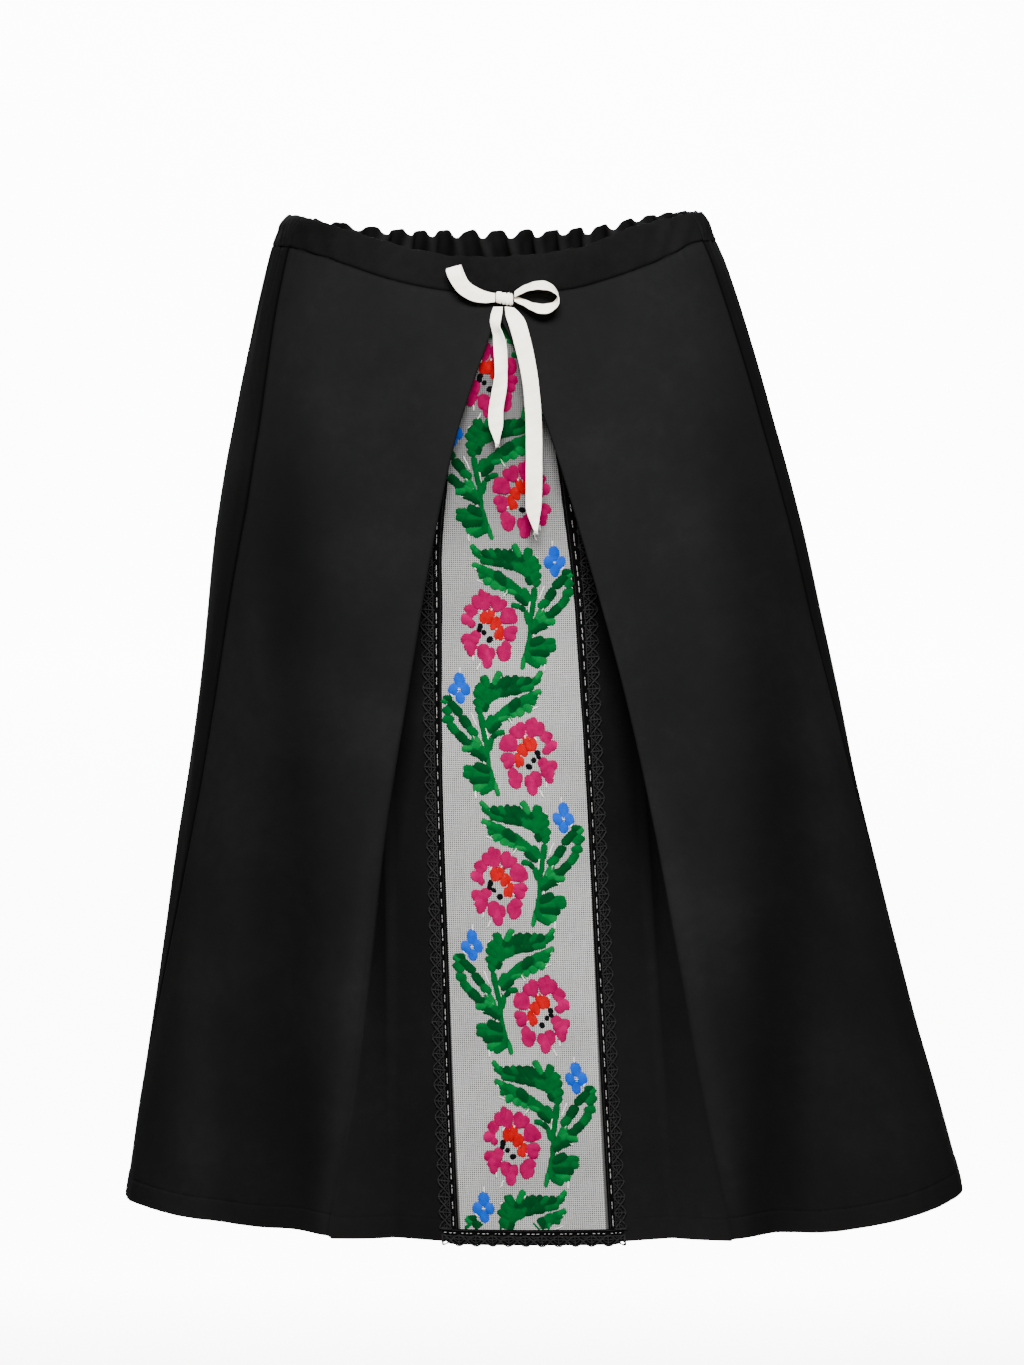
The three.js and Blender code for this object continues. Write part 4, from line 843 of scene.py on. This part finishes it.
petalChart = [
    (6, 19.5, 2.5, 38, 5.9, 0), (12, 21.5, 12.3, 35, 5.3, 0), (8, 29, 7, 40.5, 3, 0),
    (15.2, 15.5, 23, 24.8, 5.7, 0), (17.5, 11.5, 29.5, 10.2, 5.2, 1), (17, 9.5, 21.5, 3.4, 4.2, 0),
    (17, 15.5, 23, 16, 5, 0), (11, -8.6, 19, -2.4, 4.6, 0), (12, -11.3, 29.5, -8, 5.6, 0),
    (15.8, -13, 24.3, -20.6, 5.5, 0), (20, -17, 21.2, -26, 4, 0), (18, -11.5, 26, -15, 5.6, 1),
    (0.9, -17.5, -0.4, -29.5, 4.5, 0), (7.2, -14.2, 8.4, -29, 5.6, 0), (4, -19.5, 3, -37.5, 5.2, 1),
    (-12.6, -12.2, -19.6, -20.6, 5.2, 0), (-14.8, -15, -13.2, -31.3, 5.9, 0),
    (-10.4, -15.5, -9.8, -26, 3.9, 0), (-18.2, -20, -14.4, -29.6, 4.2, 1),
    (-14, -1.8, -27.8, 0.4, 4.9, 0), (-15, -4, -25, -8.8, 4.6, 0), (-12.5, -3, -22, -5, 4.4, 1),
    (-27.6, 16, -14.2, 11.4, 7.9, 0), (-21, 22.6, -16.2, 6.7, 7, 0), (-24, 11.4, -11.5, 8.7, 4, 1),
    (-9, 20.4, -16.7, 30, 4.6, 0), (-7.2, 18.8, -7, 35.3, 4.9, 0), (-10, 22, -12, 30, 4.8, 1)]
heartChart = [
    (-2, 21.5, -1.5, 11, 4, 0), (4, 19, 6.5, 6.5, 5, 0), (-1, 15, 3, 6.5, 3.6, 0),
    (-8, 13.5, -2.5, 0.5, 4.4, 0), (-10, 11, -8, 3, 3.2, 0), (-11.5, 5, -9.5, -10, 3.6, 0),
    (-8.5, 0, -5.5, -9, 3.2, 0)]
stamenChart = [
    (9.5, 7, 10.5, 1, 2.9, 0), (10.5, 2.5, 11, -2.5, 2.6, 0), (3.8, -2.5, 8.2, -3, 2.6, 0),
    (-2, -7.5, 3, -11.5, 3.1, 0)]
smallFlowerChart = [
    (-68, 69.8, -67.5, 84.5, 5.6, 0), (-69.6, 67.6, -79, 67, 6.6, 0), (-66.4, 67.8, -57.2, 68, 6.4, 0),
    (-68, 65.4, -67.3, 53.6, 5.0, 0)]
# loose white threads that run from one motif to the next
travelChart = [
    [(-66.5, 83.5), (-66.5, 89.5)], [(-77.5, 63), (-74.5, 59.5)], [(-70.5, 67), (-65.5, 67.4)],
    [(-22.5, 44.5), (-18, 38), (-14.5, 33)], [(12.5, 50.5), (3.5, 46.5)], [(-3, 21.5), (-1.5, 18.5)],
    [(7.5, 20), (10, 16)], [(-11.5, 6), (-10, 0.5)], [(-6.5, 11.5), (-4, 7)], [(-15, -8), (-11, -5)],
    [(-62, 2.5), (-57.5, 4)], [(-44, -3), (-45.5, -7)], [(18, -25), (18.5, -31)],
    [(-55, -34), (-54.5, -42)], [(11, -33), (15, -41)], [(-42, 30), (-40, 17)], [(-52, 16), (-44, 5)],
    [(-57, 44), (-51, 30)], [(-9, 79), (-10.5, 75)], [(5, 75), (9, 77)], [(-48, 74), (-51.5, 72)],
    [(12, 60), (15, 65)], [(-58, 27), (-51, 13)], [(-27.5, 73), (-24.5, 81)]]

# middle of each large flower: across, height, side it stands on
repeats = [
    (-7.6, -103.9, -1), (11.3, -191.4, 1), (-14.3, -286.4, -1), (10.5, -379.1, 1), (-13.4, -473.6, -1),
    (12.8, -566.1, 1), (-11.8, -661.6, -1), (13.2, -755.8, 1)]
chartAcross, chartDown = 0.712, 0.728  # mm for one chart unit
stitch = dict(pitch=0.58, width=0.68, height=0.24, dome=0.95, base=0.55, over=0.2, low=-722.0, high=-45.0)
leafLook = dict(stitch, fill=0.72, square=3.6)
petalLook = dict(stitch, fill=0.79, square=2.8)
smallLook = dict(stitch, fill=0.73, square=2.2)


def satin(charts, look, centre, seed):
    own = random.Random(seed)
    ca, cz, side = centre
    square, fill = look["square"], look["fill"]
    k = np.array([-1.0, -0.62, 0.0, 0.62, 1.0])
    lines, heights, tones = [], [], []
    for number, (x1, y1, x2, y2, wide, tone) in enumerate(charts):
        p1, p2 = (np.array([u * chartAcross + own.uniform(-0.35, 0.35),
                            v * chartDown + own.uniform(-0.35, 0.35)]) for u, v in ((x1, y1), (x2, y2)))
        length = math.dist(p1, p2)
        axis = (p2 - p1) / length
        slant = math.radians(own.uniform(-14, 14))
        cross = np.array([-axis[1] * math.cos(slant) - axis[0] * math.sin(slant),
                          axis[0] * math.cos(slant) - axis[1] * math.sin(slant)])
        half = wide * fill * own.uniform(0.95, 1.06)
        count = max(3, int(round(length / look["pitch"])))
        rise = look["base"] + 0.16 * (number % 3) + 0.02 * (number % 7)
        for i in range(count + 1):
            t = (i + 0.35) / (count + 0.7)
            span = half * max(0.0, 1 - abs(2 * t - 1) ** square) ** (1 / square) * own.uniform(0.93, 1.04)
            middle = p1 + axis * (length * t + own.uniform(-0.05, 0.05)) + cross * own.uniform(-0.12, 0.12)
            lines.append(middle + cross * (k * span)[:, None])
            full = look["dome"] * min(1.0, 0.45 + span / 5.0) * (0.72 + 0.28 * (1 - abs(2 * t - 1)))
            heights.append(rise + full * np.sqrt(1 - k * k))
            tones.append(tone)
    lines, heights, tones = np.array(lines), np.array(heights), np.array(tones)
    a, z = ca + side * lines[:, :, 0], cz + lines[:, :, 1]
    reach = read(pleat, "z", z, "net") + look["over"]
    left, right = (reach - read(pulledIn, "z", z, edge) for edge in ("left", "right"))
    keep = ((a > -left) & (a < right) & (z > look["low"]) & (z < look["high"])).all(1)
    pts, ups = stripPoint(a[keep], z[keep], heights[keep])
    return pts, ups, tones[keep]


def embroider(name, charts, materials, look):
    heap = Heap()
    ring = [(-look["width"] / 2, -0.05), (0, look["height"]), (look["width"] / 2, -0.05)]
    for i, centre in enumerate(repeats):
        pts, ups, tones = satin(charts, look, centre, 100 * i + len(charts))
        for tone in sorted(set(tones.tolist())):
            heap.add(*strands(pts[tones == tone], ups[tones == tone], ring), tone)
    obj = heap.build(name, materials, None)
    print(" ", name, len(obj.data.polygons))
    return obj


leafMats = [floss("floss_green_deep", (0, 48, 19)), floss("floss_green", (0, 68, 27)),
            floss("floss_green_light", (0, 87, 37))]
petalMats = [floss("floss_magenta", (126, 0, 58)), floss("floss_magenta_light", (136, 0, 66))]
redMats, blackMats = [floss("floss_red", (148, 0, 10))], [floss("floss_black", (9, 9, 10))]
blueMats = [floss("floss_blue", (0, 62, 158))]
leaves = embroider("embroidery_leaves", leafChart, leafMats, leafLook)
petals = embroider("embroidery_petals", petalChart, petalMats, petalLook)
hearts = embroider("embroidery_hearts", heartChart, redMats, smallLook)
stamens = embroider("embroidery_stamens", stamenChart, blackMats, smallLook)
smallFlowers = embroider("embroidery_small_flowers", smallFlowerChart, blueMats, smallLook)


def travelThreads(look):
    heap = Heap()
    for i, (ca, cz, side) in enumerate(repeats):
        own = random.Random(900 + i)
        for line in travelChart:
            knots = np.array(line, float) * [chartAcross, chartDown]
            t = np.linspace(0, len(knots) - 1, 7)
            flat = np.stack([np.interp(t, range(len(knots)), knots[:, c]) for c in (0, 1)], -1)
            flat[1:-1] += [[own.uniform(-0.3, 0.3), own.uniform(-0.2, 0.2)] for _ in range(5)]
            a, z = ca + side * flat[:, 0], cz + flat[:, 1]
            if np.abs(a).max() > 53 or z.min() < stitch["low"] or z.max() > stitch["high"]:
                continue
            p, n = stripPoint(a, z, look["out"])
            for shift in (-0.28, 0.28):
                q = p + np.array([shift * own.uniform(0.6, 1.2), 0, 0.1])
                heap.line(q, n, disc(look["radius"], 5), [0.4, 1, 1, 1, 1, 1, 0.4])
    return heap.build("travel_threads", [floss("floss_white", (196, 194, 188))], None)


travels = travelThreads(dict(radius=0.3, out=1.1))


# crochet lace: tape with drawn-in dashes, then open scallops, along both edges and across the foot
print("stage: lace")


def laceMaterial(name, low, high):
    p = Paint(name, rough=0.85, specular=0.01)
    colour = p.ramp(p.noise(700, 3), [(0.35, srgb(*low)), (0.65, srgb(*high))])
    return p.done(colour, p.noise(2400, 2), 0.35, 0.0003)


laceMat = laceMaterial("lace_black", (20, 20, 20), (34, 34, 34))
tapeAndShadowBlack = laceMaterial("lace_tape_and_painted_shadow", (3, 3, 3), (6, 6, 6))
dashMat = laceMaterial("lace_dash", (118, 117, 115), (158, 156, 153))
laceLook = dict(repeat=11.6, thick=0.58, fine=0.4, knot=0.72, dash=0.26, tall=13.0,
                stations=260)


def sidePoint(side):  # w mm outward from the strip's edge, on the layer under the lace
    def at(w, z, out):
        w, z = np.broadcast_arrays(np.asarray(w, float), np.asarray(z, float))
        w = w - read(pulledIn, "z", z, "left" if side < 0 else "right") * (1 - w / 14)
        over, above = stripPoint(side * (read(pleat, "z", z, "net") + np.minimum(w, 0)), z, out)
        onNet = (w < 0)[..., None]
        k = pleatAt(z, side)
        startX, startY = k["c1"][0] + np.sin(k["under"]) * k["ir"], k["c1"][1] - np.cos(k["under"]) * k["ir"]
        step = 5 - np.maximum(w, 0) / np.hypot(startX - k["net"][0], startY - k["net"][1])
        path = lambda s, h: frontPath(s, h, side)
        x, y = path(step, z)
        nx, ny = normalOf(path, np.minimum(step, 4.995), z, side)
        points, ups = xyz(x + nx * out, y + ny * out, z), xyz(nx, ny, 0)
        return np.where(onNet, over, points), np.where(onNet, above, ups)
    return at


def footPoint(a, h, out):  # a across the whole foot, h mm below the head of the foot lace
    a, h = np.broadcast_arrays(np.asarray(a, float), np.asarray(h, float))
    z = laceHead - h
    net = read(pleat, "z", z, "net")
    p, n = stripPoint(np.clip(a, -net, net), z, out)
    for side in (-1, 1):
        over = a * side > net
        if over.any():
            q, m = sidePoint(side)(np.where(over, a * side - net, 1.0), z, out)
            p, n = np.where(over[..., None], q, p), np.where(over[..., None], m, n)
    return p, n


def scallopLines(full):  # one repeat as lines of (along, out from the head), tip at 0
    k = full / laceLook["tall"]
    arc = np.array([(0, 12.9), (1.4, 12.5), (3.0, 11.6), (4.7, 10.1), (6.2, 8.5), (7.8, 6.9), (9.3, 5.6),
                    (10.9, 4.5)])
    inner = np.array([(0, 10.3), (1.2, 9.8), (2.6, 8.8), (3.4, 7.6), (3.1, 6.4), (2.0, 5.4), (0.5, 4.9)])
    bridge = np.array([(0.4, 7.8), (1.7, 7.4), (3.2, 7.5), (4.8, 8.1), (6.2, 8.6)])
    loop = np.array([(5.0, 5.0), (5.3, 6.1), (6.2, 6.8), (7.1, 6.1), (7.4, 5.0)])
    bar = np.array([(0, 12.6), (0, 10.6), (0, 8.4), (0, 6.2), (0, 4.2)])
    lines = [(line * [mirror, k], kind) for mirror in (1, -1)
             for line, kind in ((arc, "thick"), (inner, "fine"), (bridge, "fine"))]
    return lines + [(loop * [1, k], "fine"), (bar * [1, k], "thick")]


def resample(line, count):
    d = np.concatenate([[0], np.cumsum(np.linalg.norm(np.diff(line, axis=0), axis=1))])
    t = np.linspace(0, d[-1], count)
    return np.stack([np.interp(t, d, line[:, i]) for i in range(line.shape[1])], -1)


def laceRun(name, place, span, flip, dashes, seed, full, backed):
    own = random.Random(seed)
    heap, white = Heap(), Heap()
    start, end = span
    low, high = min(span), max(span)
    count = int(round((high - low) / laceLook["repeat"]))
    pitch = (end - start) / count
    scale = abs(pitch) / laceLook["repeat"]

    def lay(along, out, over):  # flip: the run hangs down a side, so its length is the height
        return place(out, along, over) if flip else place(along, out, over)

    for kind, stations, base in (("thick", 11, 1.45), ("fine", 8, 1.25)):
        alongs, outs, overs = [], [], []
        for i in range(count + 1):
            for line, which in scallopLines(full):
                if which != kind:
                    continue
                pts = resample(line, stations)
                s = start + pitch * i + pts[:, 0] * scale + own.uniform(-0.2, 0.2)
                alongs.append(np.clip(s, low - 0.4, high + 0.4))
                outs.append(pts[:, 1] + own.uniform(-0.18, 0.18) * (pts[:, 1] > 5))
                overs.append(base + 0.22 * np.sin(np.arange(len(s)) * 2.1 + i))
        beads = 1 + 0.22 * np.sin(np.arange(stations) * 2.4)
        heap.add(*strands(*lay(np.array(alongs), np.array(outs), np.array(overs)),
                          disc(laceLook[kind], 6, 0.85), True, beads))
    knots = []
    for i in range(count + 1):  # thicker knots where the bar meets the head and at the tip
        for w in (4.1, 12.4 * full / laceLook["tall"]):
            s = np.clip(start + pitch * i + np.linspace(-0.75, 0.75, 5), low, high)
            knots.append(lay(s, 0 * s + w, 1.45))
    heap.add(*strands([k[0] for k in knots], [k[1] for k in knots], disc(laceLook["knot"], 6, 0.7), True,
                      np.array([0.45, 0.9, 1, 0.9, 0.45])))
    s = np.linspace(start, end, laceLook["stations"] if flip else 90)
    headLine, midLine = 0.3 + 0.06 * np.sin(s * 1.7), 4.6 + 0.16 * np.sin(s * 2 * math.pi / 12.4)
    for line, radius in ((headLine, 0.2), (midLine, 0.36)):
        p, n = lay(s, line, 1.45)
        heap.line(p, n, disc(radius, 6, 0.8), 1 + 0.12 * np.sin(np.arange(len(s)) * 2.2))
    # tape under the lines, rounded at both ends of the foot; its near-black sheet reaches in under the
    # scallops as painted shadow in the holes of the lace
    past = 0 * s if flip else np.maximum(0, np.abs(s) - 60.5)
    rounded = np.sqrt(np.clip(1 - (past / 6) ** 2, 0.02, 1))
    wide = np.linspace(-0.9 if flip else -0.6, backed, 9)[:, None] * rounded[None, :]
    p, n = lay(s[None, :] + 0 * wide, wide, 0.95)
    cols = p.shape[1]
    faces = gridFaces(9, cols, 0) + gridFaces(9, cols, 9 * cols, True)
    heap.add(np.concatenate([p.reshape(-1, 3), (p - n * 0.3).reshape(-1, 3)]), faces, 1)
    dashLines = []
    for i in range(count):
        gap = dashes * np.sign(pitch) * own.uniform(0.8, 2.2)
        s0, s1 = start + pitch * i + gap, start + pitch * (i + 1) - gap
        if flip:  # the thread dips under now and then
            cut = own.uniform(0.25, 0.75)
            dashLines.append(np.linspace(s0, s0 + (s1 - s0) * (cut - 0.03), 6))
            dashLines.append(np.linspace(s0 + (s1 - s0) * (cut + 0.04), s1, 6))
        else:  # short, uneven dashes of the foot
            for part in range(3):
                q0 = s0 + (s1 - s0) * (part + own.uniform(0.05, 0.2)) / 3
                q1 = q0 + (s1 - s0) / 3 * own.uniform(0.3, 0.65)
                dashLines.append(np.linspace(q0, q1, 6))
    for s in dashLines:
        p, n = lay(s, 2.4 + own.uniform(-0.08, 0.08) + 0.04 * np.sin(s), 1.42)
        white.line(p, n, disc(laceLook["dash"], 6, 0.6), [0.5, 0.95, 1, 1, 0.95, 0.5])
    lace = heap.build(name, [laceMat, tapeAndShadowBlack], "lace")
    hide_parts(name)
    print(" ", name, len(lace.data.polygons))
    return lace, white.build(name + "_dashes", [dashMat], None)


sides, foot = (-721.9, -42.0), (-66.4, 66.4)


laceLeft, dashLeft = laceRun("lace_left", sidePoint(-1), sides, True, 1.5, 5, 13.0, 8.2)
laceRight, dashRight = laceRun("lace_right", sidePoint(1), sides, True, 1.5, 6, 13.0, 8.2)
laceFoot, dashFoot = laceRun("lace_bottom", footPoint, foot, False, 0.8, 7, 11.6, 10.8)


# bow: cotton tape, run through the same sections as the CAD part
print("stage: bow")
# sections of each tape: its middle, and the arrow from there to one edge
loopLeft = [
    (0.15, -103.8, -43.6, 0.0, 0.0, 3.2), (-7.5, -104.8, -44.2, 0.3, 0.0, 3.3),
    (-15.5, -105.6, -42.6, 1.7, 0.2, 3.2), (-22.5, -106.2, -38.0, 3.5, 0.3, 2.4),
    (-27.3, -106.2, -31.4, 4.5, 0.4, 1.4), (-29.5, -105.6, -25.0, 5.4, 0.4, 1.2),
    (-29.8, -103.8, -21.7, 5.4, 0.3, 1.7), (-28.9, -101.9, -23.6, 5.3, 0.3, 1.4),
    (-26.6, -101.0, -28.8, 5.2, 0.3, 1.1), (-22.2, -100.8, -34.6, 3.9, 0.3, 1.8),
    (-14.5, -101.0, -39.6, 2.1, 0.2, 2.9), (-7.0, -101.4, -42.4, 0.8, 0.1, 3.1),
    (-0.4, -102.0, -43.4, 0.0, 0.0, 2.8)]
loopRight = [
    (14.2, -103.6, -41.4, 0.0, -2.8, -1.6), (20.0, -104.2, -37.9, 0.0, -4.4, -2.2),
    (27.0, -104.8, -35.3, 0.0, -5.3, -2.5), (34.5, -105.0, -34.6, 0.0, -5.4, -2.6),
    (41.0, -105.0, -36.4, 0.4, -5.4, -2.6), (45.2, -105.0, -40.6, 0.6, -5.4, -2.5),
    (45.6, -105.0, -45.8, 0.4, -5.4, -2.6), (41.4, -105.0, -50.4, -0.2, -5.3, -2.9),
    (34.6, -105.0, -51.8, -0.3, -5.2, -3.0), (27.4, -104.8, -50.2, -0.2, -5.0, -2.8),
    (20.6, -104.3, -47.0, 0.0, -3.8, -2.0), (14.2, -103.6, -44.8, 0.0, -2.6, -1.2)]
tailLeft = [
    (2.3, -103.4, -50.4, 3.4, 0.0, 0.0), (1.0, -104.0, -56.5, 4.0, -1.2, 0.2),
    (0.2, -106.4, -63.5, 3.4, -3.2, 0.0), (2.6, -107.0, -71.5, 4.0, -3.0, 0.3),
    (4.0, -107.4, -82.5, 4.8, -1.6, 0.2), (4.5, -107.8, -98.5, 4.6, 2.2, 0.0),
    (3.0, -108.0, -111.5, 5.2, 1.6, -0.3), (0.8, -108.2, -124.5, 5.3, 0.6, -0.4),
    (0.7, -108.4, -135.5, 5.2, -0.4, -0.2), (1.2, -108.6, -144.0, 2.8, -0.4, 0.0),
    (1.8, -108.6, -149.5, 1.2, 0.0, 0.0)]
tailRight = [
    (10.4, -103.9, -50.5, 3.2, 0.0, -0.35), (13.0, -104.6, -56.0, 5.0, -0.6, 1.2),
    (16.6, -106.0, -63.5, 5.9, -0.6, 1.7), (21.2, -108.6, -80.5, 5.9, -0.8, 1.5),
    (24.9, -110.6, -98.5, 5.7, -1.2, 1.0), (27.0, -111.6, -116.0, 5.7, -1.4, 0.6),
    (28.1, -112.2, -133.5, 5.8, -0.6, 0.2), (28.4, -112.8, -155.0, 5.9, 0.4, 0.0),
    (28.3, -113.2, -180.0, 5.9, 0.8, 0.0), (28.0, -113.4, -195.0, 5.6, 0.6, 0.0),
    (28.4, -113.6, -202.0, 4.2, 0.2, 0.2), (29.8, -113.6, -212.5, 1.3, 0.0, 0.0)]
# sections of the knot: place along it, half height, half depth
knotRows = [
    (0.7, 2.6, 1.6), (1.3, 3.8, 2.6), (3.2, 4.5, 3.2), (7.2, 4.3, 3.0), (10.8, 4.6, 3.2),
    (12.6, 4.0, 2.7), (13.2, 2.7, 1.7)]


def tapeMaterial(name, low, high):
    p = Paint(name, rough=0.75, sheen=0.25, specular=0.3, soft=0.08)
    p.bsdf.inputs["Subsurface Radius"].default_value = (0.002, 0.0018, 0.0015)
    colour = p.ramp(p.blend((0.6, 90, 3), (0.4, 1500, 2)), [(0.34, srgb(*low)), (0.62, srgb(*high))])
    ribs = p.maths("ADD", p.weave(0.0007, math.pi / 2), p.maths("MULTIPLY", p.weave(0.0005), 0.6))
    return p.done(colour, ribs, 0.28, 0.0003)


tapeMat = tapeMaterial("cotton_tape", (244, 235, 216), (254, 248, 234))


def smoothRows(rows, times):  # rounder run through a table of sections
    rows = np.array(rows, float)
    t = np.linspace(0, len(rows) - 1, (len(rows) - 1) * times + 1)
    place = np.arange(len(rows), dtype=float)
    return np.stack([read(dict(k=place, v=column), "k", t, "v") for column in rows.T], -1)


def tape(name, rows, look):
    s = smoothRows(rows, look["times"])
    centre, arrow = s[:, :3], s[:, 3:]
    along = np.gradient(centre, axis=0)
    along /= np.linalg.norm(along, axis=1)[:, None]
    normal = np.cross(along, arrow)
    normal /= np.linalg.norm(normal, axis=1)[:, None] + 1e-9
    k = np.linspace(-1, 1, 15)[None, :, None]
    far = np.concatenate([[0], np.cumsum(np.linalg.norm(np.diff(centre, axis=0), axis=1))])[:, None, None]
    wide = np.linalg.norm(arrow, axis=1)[:, None, None]
    waves = 0.22 * np.sin(far * 0.31 + look["phase"]) * k + 0.12 * np.sin(far * 0.83 + 2 * k)
    soft = smooth(wide / 5) * (waves - look["cup"] * (1 - k * k))
    ends = smooth(far / 3) * smooth((far[-1] - far) / 3)
    ragged = 0.05 * np.sin(far * 5.1 + k * 3) * np.abs(k)
    mid = centre[:, None] + arrow[:, None] * k * (1 + ragged / 5) + normal[:, None] * soft * ends
    half = tapeWall / 2 + 0.13 * hump(np.abs(k) - 0.9, 0.07) - 0.05 * (np.abs(k) > 0.99)
    thick = normal[:, None] * half
    obj = shell(name, mid + thick, mid - thick, tapeMat, measured(mid))
    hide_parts(name)
    print(" ", name, "length", round(float(far[-1, 0, 0]), 1), "area", round(areaOf(mid), 6))
    return obj


tapeWall = 0.62


bowLeft = tape("bow_loop_left", loopLeft, dict(times=7, phase=0.4, cup=0.1))
bowRight = tape("bow_loop_right", loopRight, dict(times=7, phase=1.2, cup=-0.1))
bowTailLeft = tape("bow_tail_left", tailLeft, dict(times=9, phase=2.0, cup=0.3))
bowTailRight = tape("bow_tail_right", tailRight, dict(times=10, phase=0.9, cup=0.22))


def bowKnot(rows, look):
    s = smoothRows(rows, look["times"])
    a = np.linspace(0, 2 * np.pi, look["around"], endpoint=False)[None, :]
    x, tall, deep = (s[:, i][:, None] for i in range(3))
    # folds of the tape where it wraps round
    fold = 1 + 0.05 * np.sin(x * 2.6 + 1.5 * np.sin(a))
    for at, lean, wide, depth in look["creases"]:
        fold = fold - depth * hump(x - at - lean * np.sin(a + at), wide)
    y, z = -103.8 + deep * fold * np.cos(a), -44.2 - 0.16 * (x - 7) + tall * fold * np.sin(a)
    pts = xyz(x, y, z)
    n, m = pts.shape[:2]
    ring = range(m)
    faces = [(i * m + q, i * m + (q + 1) % m, (i + 1) * m + (q + 1) % m, (i + 1) * m + q)
             for i in range(n - 1) for q in ring]
    faces += [tuple(ring)[::-1], tuple(q + (n - 1) * m for q in ring)]
    uv = np.stack(np.broadcast_arrays(a * 4 * mm, x * mm), -1)
    obj = newMesh("bow_knot", pts.reshape(-1, 3) * mm, faces, tapeMat, uv.reshape(-1, 2))
    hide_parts("bow_knot")


# creases: place along the knot, lean, width, depth
knotLook = dict(times=8, around=40, creases=[
    (2.9, 0.5, 0.35, 0.10), (5.0, 0.9, 0.5, 0.20), (7.3, -0.6, 0.35, 0.13), (9.6, 0.9, 0.5, 0.20),
    (11.6, -0.4, 0.35, 0.11)])
bowKnot(knotRows, knotLook)


def frayedEnds(look):
    own = random.Random(77)
    heap = Heap()
    for rows, count, spread in ((tailLeft, 9, 1.1), (tailRight, 12, 1.2)):
        x, y, z, ax, _, _ = rows[-1]
        for i in range(count):
            k = own.uniform(-1, 1)
            long = own.uniform(1.2, look["long"])
            t = np.linspace(0, 1, 6)
            px = x + k * ax * 0.9 + own.uniform(-0.5, 0.5) * t * spread + 0.25 * np.sin(t * 5 + i)
            py = y + own.uniform(-0.3, 0.3) + 0.3 * np.sin(t * 3 + i)
            pz = z + 1.5 - (long + 1.5) * t
            n = np.tile([0.0, -1.0, 0.0], (6, 1))
            heap.line(xyz(px, py, pz), n, disc(look["radius"], 5), [1, 1, 1, 0.9, 0.8, 0.4])
    return heap.build("bow_frayed_ends", [tapeMat], "ribbon")


frayed = frayedEnds(dict(long=3.2, radius=0.13))
# studio: pale floor that rises into a lit back, soft light, the photo's own viewing angle
print("stage: studio")


def paleMaterial(name, tone, glow):  # glows only far behind the skirt, like a lit paper sweep
    p = Paint(name, rough=0.9, specular=0.1)
    p.bsdf.inputs["Base Color"].default_value = srgb(*tone)
    p.bsdf.inputs["Emission Color"].default_value = (1, 1, 1, 1)
    behind = p.along("Y")
    aside = p.maths("ABSOLUTE", p.along("X"), 0.0)
    reach = p.maths("MULTIPLY", p.maths("ADD", behind, glow["before"]), glow["spread"])
    narrow = p.span(p.maths("SUBTRACT", aside, reach), 0.03, 0.5, 1.0, 0.0)
    rise = p.span(behind, glow["start"], glow["full"], 0.0, glow["power"])
    p.links.new(p.maths("MULTIPLY", rise, narrow), p.bsdf.inputs["Emission Strength"])
    return p.mat


def sweep(name, look):
    bend = [(look["back"] + look["round"] * math.sin(a), look["round"] * (1 - math.cos(a)))
            for a in np.linspace(0, math.pi / 2, 14)]
    top = (look["back"] + look["round"], look["tall"])
    profile = [(look["front"], 0.0), (1.0, 0.0), (3.0, 0.0)] + bend + [top]
    verts = [(x, y, look["z"] + h) for y, h in profile for x in (-look["wide"], look["wide"])]
    faces = [(2 * i, 2 * i + 1, 2 * i + 3, 2 * i + 2) for i in range(len(profile) - 1)]
    mesh = bpy.data.meshes.new(name)
    mesh.from_pydata(verts, [], faces)
    mesh.materials.append(paleMaterial(name + "_paper", look["tone"], look["glow"]))
    mesh.polygons.foreach_set("use_smooth", [True] * len(mesh.polygons))
    obj = bpy.data.objects.new(name, mesh)
    bpy.context.scene.collection.objects.link(obj)
    return obj


sweep("studio_sweep", dict(z=-1.5, front=-6.0, back=9.4, round=1.6, tall=4.0, wide=2.6, tone=(236, 236, 236),
                           glow=dict(start=1.6, full=2.9, power=11.0, before=4.0, spread=0.0955)))


def softBox(name, place, target, size, power):
    data = bpy.data.lights.new(name, "AREA")
    data.shape, data.size, data.size_y = "RECTANGLE", size[0], size[1]
    data.energy = power
    obj = bpy.data.objects.new(name, data)
    obj.location = place
    obj.rotation_euler = (Vector(target) - Vector(place)).to_track_quat("-Z", "Y").to_euler()
    bpy.context.scene.collection.objects.link(obj)
    return obj


softBox("key", (0.05, -1.5, 1.0), (0.02, -0.1, -0.25), (0.9, 0.45), 150)
softBox("back_fill", (-1.3, 2.6, 1.3), (0.02, 0.1, -0.35), (1.2, 0.8), 90)

world = bpy.data.worlds.new("studio")
bpy.context.scene.world = world
world.use_nodes = True
world.node_tree.nodes["Background"].inputs["Color"].default_value = (1, 1, 1, 1)
world.node_tree.nodes["Background"].inputs["Strength"].default_value = 0.3

camData = bpy.data.cameras.new("photo_view")
camData.sensor_fit, camData.sensor_height, camData.sensor_width = "VERTICAL", 36.0, 27.0
camData.lens = 5376 / 1365 * 36.0
camera = bpy.data.objects.new("photo_view", camData)
camera.location = (0.0124, -4.0, 0.1711)
camera.rotation_euler = (math.radians(90 - 7.25), 0, 0)
bpy.context.scene.collection.objects.link(camera)
bpy.context.scene.camera = camera
